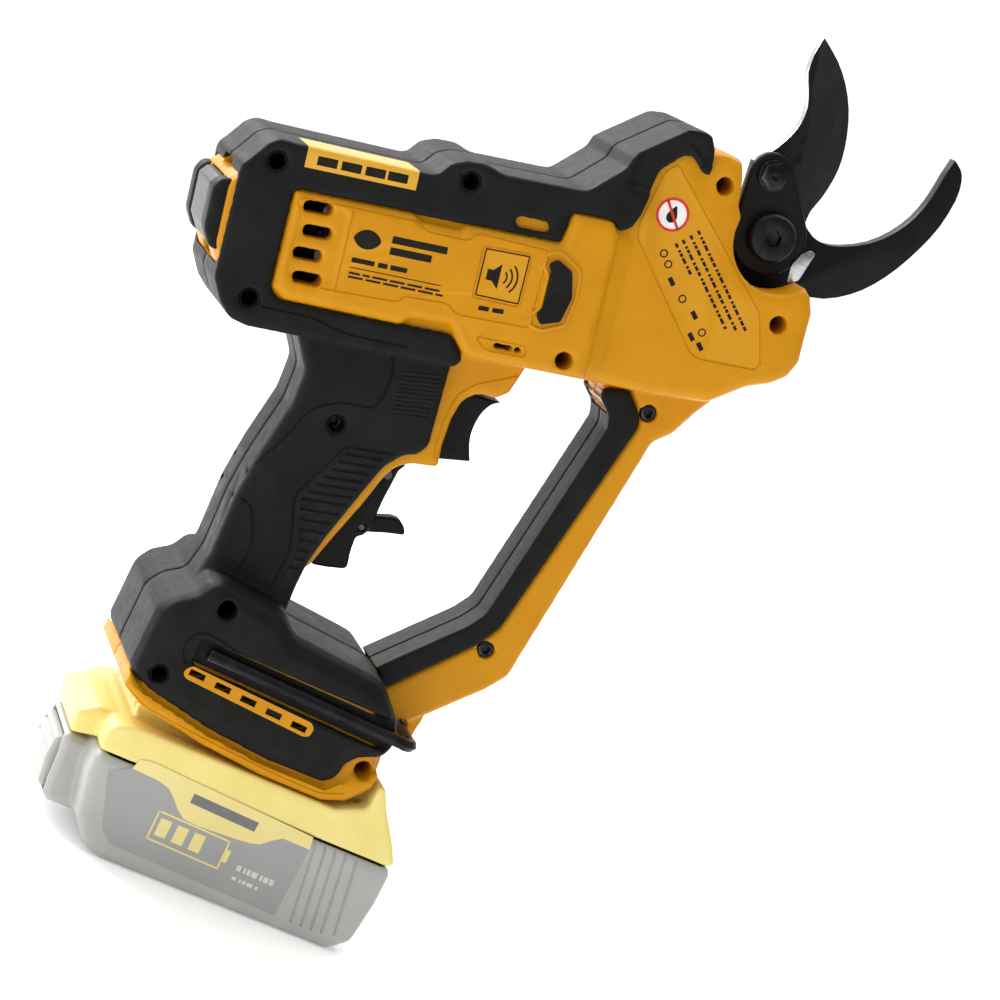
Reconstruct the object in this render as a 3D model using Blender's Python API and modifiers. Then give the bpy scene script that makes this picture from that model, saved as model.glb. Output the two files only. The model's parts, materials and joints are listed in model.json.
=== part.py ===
# Battery electric pruner: housing, drive, blades, controls and battery pack.
# Frame: +X forwards to the blades, +Y to the tool's left, +Z up, origin at the
# centre of the battery's flat underside. Lengths here are in millimetres, and
# MM turns them into Blender's metres when a mesh is made.
import math

import bmesh
import bpy
from mathutils import Matrix, Vector

MM = 0.001
GAP = 0.3                       # clearance between pieces that touch

# --- driving dimensions -------------------------------------------------
barrel_tilt = math.radians(13)  # the barrel rises towards the blades
pivot_x = 80.7                  # blade pivot
pivot_z = 277.3
motor_axis_drop = 31.0          # motor axis below the pivot, square to the barrel

barrel_half_width = 27.2
side_panel_half_width = 31.0
wrap_thickness = 2.2            # soft overmould on the barrel
head_half_width = 25.0
head_cap_half_width = 27.4
grip_core_half_width = 15.5
grip_half_width = 19.0
foot_core_half_width = 34.0
foot_half_width = 38.0
guard_half_width = 13.0
guard_rib_half_width = 10.8
wall = 2.6

blade_thickness = 3.7
hook_thickness = 5.0
link_thickness = 3.6
pivot_shaft_radius = 4.0
blade_hub_radius = 13.0

motor_radius = 22.0
motor_length = 38.0
motor_front = -112.0            # front of the stator along the barrel
rotor_radius = motor_radius - 10.0
shaft_radius = 2.5
bore_clearance = 0.3

sun_teeth = 12
planet_teeth = 15
planet_count = 3
planet_module = 0.9
planet_width = 7.0
gear_case_radius = 23.2
planet_front = -77.0            # front face of the planet gears along the barrel
gear_case_step = -70.7          # where the gear case narrows to its snout
snout_radius = 13.0

bevel_module = 1.25
bevel_pinion_teeth = 12
bevel_gear_teeth = 24
bevel_face = 4.5
final_module = 1.5
pinion_teeth = 18
sector_full_teeth = 30
sector_teeth = 7
final_width = 4.4
final_layer = 8.6               # y where the final gear pair starts

battery_half_width = 37.5
battery_case_height = 33.5
battery_front = 51.5
battery_rear = -57.5
battery_top_height = 45.2
rail_block_half_width = 24.0
rail_block_top = 53.5
cell_radius = 9.3
cell_length = 65.0

screw_radius = 1.5
screw_head_radius = 2.8
screw_head_seat = 9.0           # |y| of the seat under every screw head
screw_tip = 11.0
trigger_travel = 6.0
lever_half_width = 7.0
trigger_half_width = 8.0
key_radius = 2.3

ring_teeth = sun_teeth + 2 * planet_teeth
final_distance = final_module * (pinion_teeth + sector_full_teeth) / 2
countershaft_u = -math.sqrt(final_distance ** 2 - motor_axis_drop ** 2)
cone_gear_radius = bevel_module * bevel_gear_teeth / 2
cone_pinion_radius = bevel_module * bevel_pinion_teeth / 2


# --- frames and outlines ------------------------------------------------
def b(u, v):
    """Barrel frame (along and square to the barrel, from the pivot) to x, z."""
    c, s = math.cos(barrel_tilt), math.sin(barrel_tilt)
    return (pivot_x + u * c - v * s, pivot_z + u * s + v * c)


def area(points):
    return sum(p[0] * q[1] - q[0] * p[1] for p, q in zip(points, points[1:] + points[:1])) / 2


def offset(points, distance):
    """Moves every side of a closed outline outwards by distance."""
    if not distance:
        return list(points)
    turn = 1 if area(points) > 0 else -1
    result = []
    count = len(points)
    for i in range(count):
        p = Vector(points[i][:2])
        before = (p - Vector(points[i - 1][:2])).normalized()
        after = (Vector(points[(i + 1) % count][:2]) - p).normalized()
        n1 = Vector((before.y, -before.x)) * turn
        n2 = Vector((after.y, -after.x)) * turn
        mitre = (n1 + n2) / max(0.35, 1 + n1.dot(n2))
        result.append(tuple(p + mitre * distance) + tuple(points[i][2:]))
    return result


def rounded(points, radius, steps=3):
    """Rounds each corner of a closed outline; a third value overrides the radius."""
    result = []
    count = len(points)
    for i in range(count):
        p = Vector(points[i][:2])
        to_last = Vector(points[i - 1][:2]) - p
        to_next = Vector(points[(i + 1) % count][:2]) - p
        r = points[i][2] if len(points[i]) > 2 else radius
        half = to_last.angle(to_next) / 2
        if r <= 0 or half > math.radians(86):
            result.append(tuple(p))
            continue
        reach = min(r / math.tan(half), 0.45 * to_last.length, 0.45 * to_next.length)
        r = reach * math.tan(half)
        middle = p + (to_last.normalized() + to_next.normalized()).normalized() * (r / math.sin(half))
        start = p + to_last.normalized() * reach - middle
        end = p + to_next.normalized() * reach - middle
        sweep = start.angle_signed(end)
        for k in range(steps + 1):
            a = -sweep * k / steps
            turned_point = Vector((start.x * math.cos(a) - start.y * math.sin(a),
                                   start.x * math.sin(a) + start.y * math.cos(a)))
            result.append(tuple(middle + turned_point))
    return result


def arc(cx, cz, radius, start, end, steps):
    """Points on an arc, angles in degrees from +X towards +Z."""
    return [(cx + radius * math.cos(math.radians(start + (end - start) * k / steps)),
             cz + radius * math.sin(math.radians(start + (end - start) * k / steps)))
            for k in range(steps + 1)]


def smooth_curve(points, steps=2):
    """A curve through the points, with steps pieces between each two."""
    result = []
    for i in range(len(points) - 1):
        before, start, end, after = (Vector(points[min(max(k, 0), len(points) - 1)])
                                     for k in (i - 1, i, i + 1, i + 2))
        for k in range(steps):
            t = k / steps
            result.append(tuple(start + t * (end - before) / 2
                                + t * t * (before - 2.5 * start + 2 * end - 0.5 * after)
                                + t * t * t * (1.5 * start - before / 2 - 1.5 * end + after / 2)))
    return result + [points[-1]]


# --- mesh making --------------------------------------------------------
def material(name, colour, roughness, metallic=0.0):
    made = bpy.data.materials.get(name) or bpy.data.materials.new(name)
    made.use_nodes = True
    shader = made.node_tree.nodes["Principled BSDF"]
    shader.inputs["Base Color"].default_value = (*colour, 1)
    shader.inputs["Roughness"].default_value = roughness
    shader.inputs["Metallic"].default_value = metallic
    return made


def add_object(name, mesh):
    made = bpy.data.objects.new(name, mesh)
    collection.objects.link(made)
    return made


def clean(mesh, dissolve=True):
    work = bmesh.new()
    work.from_mesh(mesh)
    bmesh.ops.remove_doubles(work, verts=work.verts, dist=0.01 * MM)
    if dissolve:
        bmesh.ops.dissolve_limit(work, angle_limit=math.radians(0.5), verts=work.verts, edges=work.edges)
    bmesh.ops.recalc_face_normals(work, faces=work.faces)
    work.to_mesh(mesh)
    work.free()


def plate(outlines, thickness):
    """A flat outline, with any holes after it, as a filled 2D curve of that thickness."""
    curve = bpy.data.curves.new("outline", "CURVE")
    curve.dimensions = "2D"
    curve.fill_mode = "BOTH"
    curve.extrude = thickness / 2 * MM
    for outline in outlines:
        spline = curve.splines.new("POLY")
        spline.points.add(len(outline) - 1)
        for point, place in zip(spline.points, outline):
            point.co = (place[0] * MM, place[1] * MM, 0, 1)
        spline.use_cyclic_u = True
    holder = bpy.data.objects.new("outline", curve)
    collection.objects.link(holder)
    bpy.context.view_layer.update()
    mesh = bpy.data.meshes.new_from_object(holder.evaluated_get(bpy.context.evaluated_depsgraph_get()))
    bpy.data.objects.remove(holder)
    clean(mesh)
    return mesh


def bevel_rims(mesh, half, width, steps):
    """Rounds the edges between the side wall and the two flat faces."""
    work = bmesh.new()
    work.from_mesh(mesh)
    rim = [e for e in work.edges
           if all(abs(abs(v.co.z) - half * MM) < 0.02 * MM for v in e.verts)
           and e.verts[0].co.z * e.verts[1].co.z > 0
           and len(e.link_faces) == 2 and e.calc_face_angle() > math.radians(60)]
    bmesh.ops.bevel(work, geom=rim, offset=width * MM, segments=steps, profile=0.5,
                    affect="EDGES", clamp_overlap=True)
    bmesh.ops.remove_doubles(work, verts=work.verts, dist=0.01 * MM)
    work.to_mesh(mesh)
    work.free()


def prism(outlines, y_low, y_high, rim=0.0, steps=2):
    """An x, z outline stretched from y_low to y_high, its rims rounded by rim."""
    if isinstance(outlines[0][0], (int, float)):
        outlines = [outlines]
    mesh = plate(outlines, y_high - y_low)
    if rim:
        bevel_rims(mesh, (y_high - y_low) / 2, rim, steps)
    mesh.transform(Matrix.Translation((0, (y_low + y_high) / 2 * MM, 0)) @ Matrix.Rotation(math.pi / 2, 4, "X"))
    return add_object("piece", mesh)


def cylinder(radius, start, end, sides=24, end_radius=None):
    """A cylinder or cone between two points."""
    start, end = Vector(start) * MM, Vector(end) * MM
    work = bmesh.new()
    bmesh.ops.create_cone(work, cap_ends=True, segments=sides, radius1=radius * MM,
                          radius2=(radius if end_radius is None else end_radius) * MM,
                          depth=(end - start).length)
    mesh = bpy.data.meshes.new("cylinder")
    work.to_mesh(mesh)
    work.free()
    turn = Vector((0, 0, 1)).rotation_difference(end - start).to_matrix().to_4x4()
    mesh.transform(Matrix.Translation((start + end) / 2) @ turn)
    return add_object("piece", mesh)


def along_y(radius, x, z, y_low, y_high, sides=24):
    return cylinder(radius, (x, y_low, z), (x, y_high, z), sides)


def along_barrel(radius, u_low, u_high, v=None, y=0.0, sides=32, end_radius=None):
    v = -motor_axis_drop if v is None else v
    x1, z1 = b(u_low, v)
    x2, z2 = b(u_high, v)
    return cylinder(radius, (x1, y, z1), (x2, y, z2), sides, end_radius)


def box(x_low, x_high, y_low, y_high, z_low, z_high):
    work = bmesh.new()
    size = Vector((x_high - x_low, y_high - y_low, z_high - z_low)) * MM
    middle = Vector((x_low + x_high, y_low + y_high, z_low + z_high)) * MM / 2
    bmesh.ops.create_cube(work, size=1, matrix=Matrix.Translation(middle) @ Matrix.Diagonal((*size, 1)))
    mesh = bpy.data.meshes.new("box")
    work.to_mesh(mesh)
    work.free()
    return add_object("piece", mesh)


def turned(profile, matrix, steps=32):
    """Turns a closed (radius, height) profile about the local Z axis."""
    mesh = bpy.data.meshes.new("profile")
    points = [(r * MM, 0, h * MM) for r, h in profile]
    edges = [(i, (i + 1) % len(points)) for i in range(len(points))]
    mesh.from_pydata(points, edges, [])
    holder = add_object("profile", mesh)
    screw = holder.modifiers.new("turn", "SCREW")
    screw.steps = screw.render_steps = steps
    screw.use_merge_vertices = True
    screw.merge_threshold = 0.01 * MM
    bpy.context.view_layer.update()
    made = bpy.data.meshes.new_from_object(holder.evaluated_get(bpy.context.evaluated_depsgraph_get()))
    bpy.data.objects.remove(holder)
    clean(made, dissolve=False)
    made.transform(matrix)
    return add_object("piece", made)


def closed(mesh):
    work = bmesh.new()
    work.from_mesh(mesh)
    result = all(len(e.link_faces) == 2 for e in work.edges)
    work.free()
    return result


def combine(target, tool, operation="DIFFERENCE"):
    """Cuts or joins one closed mesh with another, and drops the tool."""
    step = target.modifiers.new("combine", "BOOLEAN")
    step.operation = operation
    step.object = tool
    for solver in ("EXACT", "MANIFOLD"):
        step.solver = solver
        bpy.context.view_layer.update()
        made = bpy.data.meshes.new_from_object(target.evaluated_get(bpy.context.evaluated_depsgraph_get()))
        if closed(made):
            break
    target.modifiers.clear()
    target.data = made
    bpy.data.objects.remove(tool)
    return target


def join(first, *others):
    for other in others:
        combine(first, other, "UNION")
    return first


def cut(first, *others):
    for other in others:
        combine(first, other, "DIFFERENCE")
    return first


def copy_of(source):
    return add_object("piece", source.data.copy())


def finish(made, name, finish_material, origin=(0, 0, 0), parent=None):
    """Names a piece, moves its origin to its joint and gives it its material."""
    place = Vector(origin) * MM
    made.data.transform(Matrix.Translation(-place))
    made.location = place
    made.name = name
    made.data.name = name
    made.data.materials.clear()
    made.data.materials.append(finish_material)
    made.data.shade_smooth()
    made.data.set_sharp_from_angle(angle=math.radians(32))
    if parent:
        made.parent = parent
        bpy.context.view_layer.update()
        made.matrix_parent_inverse = parent.matrix_world.inverted()
    return made


def halves(full, name, finish_material):
    """Splits a piece that spans both sides into its right and left halves."""
    right, left = full, copy_of(full)
    far = 400
    cut(right, box(-far, far, -GAP / 2, far, -far, far))
    cut(left, box(-far, far, -far, GAP / 2, -far, far))
    finish(right, name + "_right", finish_material)
    finish(left, name + "_left", finish_material)
    return right, left


# --- gears --------------------------------------------------------------
def involute(angle):
    return math.tan(angle) - angle


def gear_outline(teeth, module, phase=0.0, thickness=0.44, addendum=0.85, dedendum=1.1):
    """An involute gear outline with a tooth's middle at the phase angle."""
    pitch = module * teeth / 2
    pressure = math.radians(20)
    base = pitch * math.cos(pressure)
    root = pitch - dedendum * module
    tip = pitch + addendum * module
    half_at_pitch = math.pi * thickness / teeth
    points = []
    for k in range(teeth):
        middle = phase + 2 * math.pi * k / teeth
        flank = []
        for r in (root, pitch, tip):
            at = math.acos(min(1, base / r))
            flank.append((r, half_at_pitch + involute(pressure) - involute(at)))
        points += [(r * math.cos(middle - a), r * math.sin(middle - a)) for r, a in flank]
        points += [(r * math.cos(middle + a), r * math.sin(middle + a)) for r, a in reversed(flank)]
    return points


def circle(radius, sides, cx=0.0, cz=0.0):
    return [(cx + radius * math.cos(2 * math.pi * k / sides), cz + radius * math.sin(2 * math.pi * k / sides))
            for k in range(sides)]


def barrel_matrix(u, v=None, y=0.0):
    """Local Z along the barrel, local X square to it and upwards."""
    x, z = b(u, -motor_axis_drop if v is None else v)
    c, s = math.cos(barrel_tilt), math.sin(barrel_tilt)
    return Matrix(((-s, 0, c, x * MM), (0, -1, 0, y * MM), (c, 0, s, z * MM), (0, 0, 0, 1)))


def barrel_gear(outlines, u_low, u_high, v=None, y=0.0):
    """A gear on an axis along the barrel."""
    mesh = plate(outlines, u_high - u_low)
    mesh.transform(barrel_matrix((u_low + u_high) / 2, v, y))
    return add_object("piece", mesh)


def cross_gear(outlines, x, z, y_low, y_high):
    """A gear on an axis along Y."""
    moved = [[(p[0] + x, p[1] + z) for p in outline] for outline in outlines]
    return prism(moved, y_low, y_high)


# --- outlines of the housing --------------------------------------------
def barrel_core(grow):
    corners = [b(-181, -50), b(-187, -38), b(-187, -17), b(-179.5, -10.5), b(-176, -4.4), b(-171, -2.6), b(-119, -3.6),
               b(-115.5, 1.5), b(-104, 3.4), b(-99, 1.2), b(-60, 1.2), b(-50, -10), b(-50, -58), b(-174, -58.6)]
    return prism(rounded(offset(corners, grow), 3, 1), -barrel_half_width - grow, barrel_half_width + grow, 9, 2)


def side_panel(grow):
    corners = [b(-165, -15.4, ), b(-125.5, -15.0), b(-122.5, -17), b(-109.5, -17), b(-107.5, -15), b(-75.5, -14.6),
               b(-73.4, -4), b(-60, -4), b(-57, -8), b(-57, -57), b(-99, -57), b(-106, -48), b(-119, -48.4),
               b(-122, -51), b(-161, -50.6), b(-165.5, -47.5)]
    return prism(offset(corners, grow), -side_panel_half_width - grow, side_panel_half_width + grow, 2.0, 1)


def head_core(grow):
    corners = [b(-60, -58), b(-60, -6), b(-56, -2), b(-55, 15), b(-42, 27.5), b(-35, 27.5), b(-32.5, 24.8),
               b(-26.4, 25.6), b(-20, 24.0), b(-18.4, 17.5), b(-17.6, 9)]
    corners += [b(*p) for p in arc(0, 0, 16.0, 162, 282, 7)]
    corners += [b(8, -13.5), b(11, -12), b(14.4, -15.5), b(16.2, -21), b(16, -30), b(16, -38), b(13, -43.5),
                b(8, -46.8), b(0, -49.5), b(-12, -57.3), b(-30, -58.3)]
    return prism(rounded(offset(corners, grow), 2, 1), -head_half_width - grow, head_half_width + grow, 4, 2)


grip_back = [(-50.5, 183), (-45.5, 172), (-44.6, 160), (-47.5, 140), (-48.6, 125), (-47.6, 104), (-50, 90)]
grip_front = [(-14, 84), (-18.6, 94), (-18.8, 107), (-14.6, 113.6), (-11.2, 126.5), (-7.5, 139.2), (-5.2, 149.8),
              (-2.8, 155.4), (1.5, 158.2), (10.2, 160.8, 0.8), (8.3, 167.7), (7.1, 177.5), (7.7, 184.6),
              (11.5, 188.9), (20.7, 190.2)]
soft_front = [(-12, 78), (-15.6, 92), (-16.4, 106), (-16.2, 114.5), (-14.6, 124), (-9.8, 143.9), (-7.2, 153.9),
              (-3, 160), (4, 163.4)]


def grip_core(grow):
    back = [(x + 4, z) for x, z in grip_back]
    corners = [(-30, 200)] + back + [(-40, 80)] + grip_front + [(22.5, 204), (24, 214), (0, 214)]
    half = grip_core_half_width + grow
    return prism(rounded(offset(corners, grow), 4, 1), -half, half, 3, 1)


foot_lip = [(-57.5, 56), (-51, 52.2), (-27, 47.9), (-4, 45.8), (18, 45.8), (26, 48.8), (32.4, 56)]


def foot_core(grow):
    corners = foot_lip + [(33, 63), (31, 78), (22, 86), (-50, 86), (-57.5, 78)]
    half = foot_core_half_width + grow
    return prism(rounded(offset(corners, grow), 3, 1), -half, half, 5, 1)


def foot_rim(grow):
    top = [(32.8, 62), (24, 57), (18, 50), (-4, 49.6), (-27, 51.7), (-51, 56.4), (-58.4, 61)]
    corners = [(-58.6, 56.5)] + foot_lip[1:] + top
    half = foot_half_width - 0.8
    return prism(offset(corners, grow), -half - grow, half + grow, 2.5, 1)


guard_outer = [(84, 214), (79.5, 203.5), (74.5, 198), (65.4, 105), (60.5, 98), (40.6, 76.5)]
guard_border = [(58.6, 211), (66, 204.5), (67.3, 201), (54.8, 119.5), (51, 112), (25, 82)]
guard_inner = [(49, 206), (56, 200.5), (57.6, 196), (48.2, 122), (44.5, 116), (19.5, 88)]


def guard_core(grow):
    strip = prism(rounded(offset([(57, 221), (89, 223)] + guard_outer + [(36.5, 71), (23, 69.5)]
                                 + guard_border[::-1], grow), 3, 2),
                  -guard_half_width - grow, guard_half_width + grow, 1.5, 1)
    rib_inner = [(x + 2.6, z - 1.4) for x, z in guard_inner]
    rib = prism(rounded(offset([(49, 214), (64, 214)] + [(x + 3, z - 1.5) for x, z in guard_border[1:]]
                               + [(24, 76)] + rib_inner[::-1], grow), 0),
                -guard_rib_half_width - grow, guard_rib_half_width + grow)
    return join(rib, strip)


key_hole = (38.6, 74.2)


def key_bracket(grow):
    corners = [(30, 84), (46, 82), (45, 69.5), (42, 67), (34.8, 67), (33.8, 72)]
    return prism(offset(corners, grow), -9 - grow, 9 + grow)


def housing_solid(grow=0.0):
    return join(barrel_core(grow), side_panel(grow), head_core(grow), grip_core(grow), foot_core(grow),
                foot_rim(grow), guard_core(grow), key_bracket(grow))


# --- screws -------------------------------------------------------------
screw_places = [b(-172.8, -7.5), b(-172.0, -52.5), b(-109.5, -1.0), b(-24.6, 14.8), b(5.0, -26.6), b(-65.7, -52.0),
                (-28.5, 160.5), (-38.6, 92.5), (-50.0, 64.5), (68.5, 206.5), (54.0, 110.5), (27.4, 60.5)]


def screw_bosses(grow=0.0, only=range(12)):
    """A post in each half for each screw; the reach is to the wall it stands on."""
    grip_reach, head_reach, foot_reach = grip_core_half_width - 1, head_half_width - 1, foot_core_half_width - 1
    reaches = [12, 12, 12, head_reach, head_reach, 12, grip_reach, grip_reach, foot_reach, guard_rib_half_width + 1,
               guard_rib_half_width + 1, foot_reach]
    made = []
    for index in only:
        (x, z), reach = screw_places[index], reaches[index]
        made.append(along_y(screw_head_radius + 1.6 + grow, x, z, -reach, 0, 12))
        left_start = hook_thickness + 2 * GAP if index == 4 else 0
        made.append(along_y(screw_head_radius + 0.6 + grow, x, z, left_start, reach, 12))
    return made


def drill_screws(target):
    for x, z in screw_places:
        cut(target, along_y(screw_radius + bore_clearance, x, z, -screw_head_seat - 1, screw_tip + 1, 8),
            along_y(screw_head_radius + bore_clearance, x, z, -60, -screw_head_seat, 12))
    return target


def add_screws(finish_material):
    head = screw_head_seat + 3.0
    profile = [(0, head), (screw_head_radius, head), (screw_head_radius, screw_head_seat + 0.2),
               (screw_radius, screw_head_seat + 0.2), (screw_radius, -screw_tip + 2), (0, -screw_tip)]
    for index, (x, z) in enumerate(screw_places):
        place = Matrix.Translation((x * MM, 0, z * MM)) @ Matrix.Rotation(math.pi / 2, 4, "X")
        screw = turned(profile, place, 10)
        finish(screw, "housing_screw_%02d" % (index + 1), finish_material)


# --- housing and overmould ----------------------------------------------
trigger_face = [(22.4, 188.7), (19.6, 187.0), (17.7, 183.4), (17.0, 178.8), (17.5, 174.2), (19.0, 170.2), (21.2, 166.2)]
trigger_outline = [(19.8, 164.4), (10, 162.4), (4.5, 162.2), (2, 168), (2, 182), (5, 187.6)]
lever_outline = [(3.0, 157.2), (0.8, 153.4), (0.4, 142.4), (0.7, 131.4), (-0.6, 128.4), (-2.6, 127.2), (-1.9, 121.6),
                 (-0.4, 115.8), (-7, 113.7), (-12.6, 112.4), (-14, 115), (-8.4, 146), (-6.6, 156)]
lever_pivot = (-3.0, 151.0)
latch_pivot = (-2.2, 130.8)
rail_channel_top = 54.4


def inner_space():
    """The hollow that the motor, gears, switch and board sit in."""
    space = along_barrel(motor_radius + 1.4, -175, gear_case_step + GAP, sides=28)
    join(space, along_barrel(snout_radius + 1.5, gear_case_step - 1, -46, sides=20))
    head_space = [b(-50, -52), b(-50, -8), b(-50, 13), b(-41, 23.5), b(-33, 23.5), b(-30, 12), b(-21, 6)]
    head_space += [b(*p) for p in arc(0, 0, 18.8, 160, 283, 4)]
    head_space += [b(11, -16), b(13, -19), b(13.2, -27), b(12.4, -38.5), b(1, -45.5), b(-14, -54)]
    half = head_half_width - wall - 0.6
    grip_space = [(x + 4 + wall, z) for x, z in grip_back] + [(-40, 80), (-21, 80)]
    grip_space += [(-21.2, 94), (-21.4, 112), (-11.4, 151), (-7, 160), (3, 164), (2.5, 186), (8, 193), (14, 206),
                   (-30, 206)]
    grip_half = grip_core_half_width - wall
    foot_half = foot_core_half_width - wall
    foot_space = [(-54, 56), (-54, 82), (26, 82), (29, 76), (29, 56)]
    join(space, prism(head_space, -half, half), prism(grip_space, -grip_half, grip_half),
         prism(foot_space, -foot_half, foot_half))
    return space


def battery_channel():
    """The slot for the battery's rail block, with the two rails left standing in it."""
    half = rail_block_half_width + 0.6
    channel = box(-50.5, 60, -half, half, 30, rail_channel_top + 2)
    for side in (-1, 1):
        inner, outer = side * (half - 2.4), side * (half + 1)
        rail = box(-48, 31, min(inner, outer), max(inner, outer), 47.2, 49.0)
        cut(channel, rail)
    return channel


def trigger_opening():
    corners = [(26, 189.4), (26, 162.4), (6, 160.4), (-8, 160.4), (-8, 188.4)]
    return prism(corners, -trigger_half_width - 0.6, trigger_half_width + 0.6)


def lever_opening():
    corners = [(14, 159.2), (14, 110.4), (-20.8, 109.6), (-13.5, 148), (-9, 159.2)]
    return prism(corners, -lever_half_width - 0.6, lever_half_width + 0.6)


def blade_mouth():
    """The opening at the front of the head where the blades come out."""
    right = along_y(17.2, pivot_x, pivot_z, -40, -1.0, 28)
    front = [b(-24, 30), b(-20, 8), b(-17, -8), b(-8, -19), b(20, -19), b(40, -10), b(40, 40), b(-8, 40)]
    slot = prism(front, -link_thickness - blade_thickness - 1.6, hook_thickness + 0.9 * GAP)
    sector = along_y(24.2, pivot_x, pivot_z, final_layer - 0.6, final_layer + final_width + 0.6, 32)
    nut = along_y(9.0, pivot_x, pivot_z, 0, 40, 20)
    tang = prism(offset(hook_tang, GAP), -GAP, hook_thickness + GAP)
    return join(right, slot, sector, nut, tang)


hook_tang = [b(14, -8), b(17.4, -21), b(12, -33.5), b(1, -33.5), b(-9.5, -17), b(-14, -2), b(-9, 9), b(8, 9)]


def vents():
    made = []
    for k in range(4):
        v = -19.4 - 7.7 * k
        lead = -3.0 if k % 2 == 0 else -1.5
        corners = [b(-158.5 + lead, v + 2), b(-149.0 + lead, v + 2), b(-149.0 + lead, v - 2), b(-158.5 + lead, v - 2)]
        made.append(prism(corners, -50, 50))
    made.append(prism([b(-91, -50.6), b(-80.5, -50.6), b(-80.5, -52.4), b(-91, -52.4)], -50, 50))
    return made


def rear_vents():
    """Air slots in the end face, above and below the badge."""
    made = []
    for v, y in ((-13.4, 0), (-42.6, 0)):
        made.append(prism([b(-196, v - 1.6), b(-196, v + 1.6), b(-170, v + 1.6), b(-170, v - 1.6)], y - 9, y + 9))
    return made


def foot_vents():
    made = []
    for k in range(5):
        x, z = -38.6 + 9.6 * k, 69.3 - 0.7 * k
        made.append(prism([(x - 2.8, z - 1.1), (x + 2.8, z - 1.3), (x + 2.8, z + 0.9), (x - 2.8, z + 1.1)], -60, 60))
    return made


def make_housing(finish_material):
    full = housing_solid()
    cut(full, inner_space())
    join(full, *screw_bosses())
    cut(full, blade_mouth(), battery_channel(), trigger_opening(), lever_opening())
    cut(full, along_y(3.6, *key_hole, -20, 20, 6))
    cut(full, along_y(1.5 + GAP / 2, *lever_pivot, -lever_half_width - 3.2, lever_half_width + 3.2, 16))
    cut(full, *vents())
    cut(full, *foot_vents())
    cut(full, *rear_vents())
    cut(full, badge_body(GAP))
    drill_screws(full)
    halves(full, "housing", finish_material)


def barrel_wrap(grow=0.0):
    corners = [b(-184, -10.8), b(-181.5, -8.4), b(-176.5, -2), b(-173, -0.2), b(-168, -0.6), b(-121, -1.2),
               b(-117, 3.6), b(-112, 5.5), b(-105, 5.7), b(-99.5, 3.6), b(-71, 4.0), b(-60, 14), b(-58.2, 18.7),
               b(-42, 30.4), b(-34, 31.2), b(-31.6, 26), b(-30.5, 17.5), b(-33, 16.6), b(-39.6, 23.4), b(-48, 15.6),
               b(-51.4, -0.5), b(-53.5, -5), b(-74.5, -14.9), b(-165, -15.4), b(-165, -50.6), b(-120, -50.8),
               b(-99, -50.8), b(-99, -61.6), b(-171, -61.6), b(-177, -60), b(-181, -55.5), b(-184.6, -48)]
    half = barrel_half_width + wrap_thickness
    return prism(rounded(offset(corners, grow), 2.2, 1), -half - grow, half + grow, 8, 2)


def grip_wrap(grow=0.0):
    corners = [(-64, 188)] + [(-55, 184.5)] + grip_back[1:] + [(-50, 78)]
    corners += soft_front + [b(-99, -58), b(-99, -50.8), b(-140, -50.8)]
    half = grip_half_width + grow
    return prism(rounded(offset(corners, grow), 4, 1), -half, half, 8, 2)


def foot_wrap(grow=0.0):
    corners = [(-59.5, 61), (-51, 56.8), (-27, 52.1), (-4, 50), (17, 50.4), (21, 54.5), (22, 62), (31.5, 66),
               (34, 72), (31, 80), (21, 90.5), (8.7, 91.5), (-12.8, 93), (-20, 99), (-46, 101), (-50, 93.5),
               (-56, 89.5), (-59.5, 84)]
    half = foot_half_width + grow
    return prism(rounded(offset(corners, grow), 4, 1), -half, half, 6, 2)


def key_groove():
    corners = [(-42, 81), (-42, 71.5), (48, 69), (48, 80)]
    return prism(corners, -60, -foot_core_half_width - GAP)


def head_cap_sides():
    """What is taken off the wrap's flanks over the head, where it is narrower than the barrel."""
    corners = [b(-58, 8), b(-56, 45), b(-10, 45), b(-10, 8)]
    return [prism(corners, *sorted((side * head_cap_half_width, side * 60))) for side in (-1, 1)]


def make_overmould(finish_material):
    full = join(barrel_wrap(), grip_wrap(), foot_wrap())
    cut(full, *head_cap_sides())
    cut(full, housing_solid(GAP))
    cut(full, key_groove())
    cut(full, *foot_vents())
    cut(full, prism(rounded([b(-92, -8.7), b(-81, -8.7), b(-80.5, -12), b(-92, -12)], 0.8, 1), -60, 60))
    cut(full, *rear_vents())
    cut(full, badge_body(GAP))
    cut(full, *screw_bosses(GAP))
    cut(full, trigger_opening(), lever_opening())
    for x, z in screw_places:
        cut(full, along_y(screw_head_radius + 0.5, x, z, -60, 0, 12))
    halves(full, "overmould", finish_material)


def make_guard_pads(finish_material):
    corners = guard_inner + [(31, 75), (25, 82)] + guard_border[::-1][1:] + [(58, 210.5), (52, 209)]
    full = prism(rounded(corners, 3, 1), -guard_half_width - 0.8, guard_half_width + 0.8, 3, 1)
    cut(full, housing_solid(GAP))
    cut(full, *screw_bosses(GAP, only=(9, 10)))
    cut(full, foot_wrap(GAP))
    halves(full, "guard_pad", finish_material)


def make_trim(soft, badge_material):
    for side, name in ((-1, "right"), (1, "left")):
        corners = [b(-76, -19.5), b(-70.5, -22.5), b(-68.5, -31), b(-70.5, -39.4), b(-77, -41.6), b(-79, -38.6),
                   b(-77.4, -36), b(-77.4, -23.6), b(-79, -21.8)]
        face = side * (side_panel_half_width + GAP)
        low, high = sorted((face, side * (side_panel_half_width + 1.6)))
        finish(prism(rounded(corners, 0.8, 1), low, high), "side_bumper_" + name, soft)
    finish(badge_body(0), "rear_badge", badge_material)


def badge_body(grow):
    corners = [b(-188, -17.5), b(-190.2, -20), b(-190.2, -33.5), b(-187.2, -39), b(-184.5, -39), b(-184.5, -17.5)]
    return prism(offset(corners, grow), -15 - grow, 15 + grow, 1.5, 1)


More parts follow.
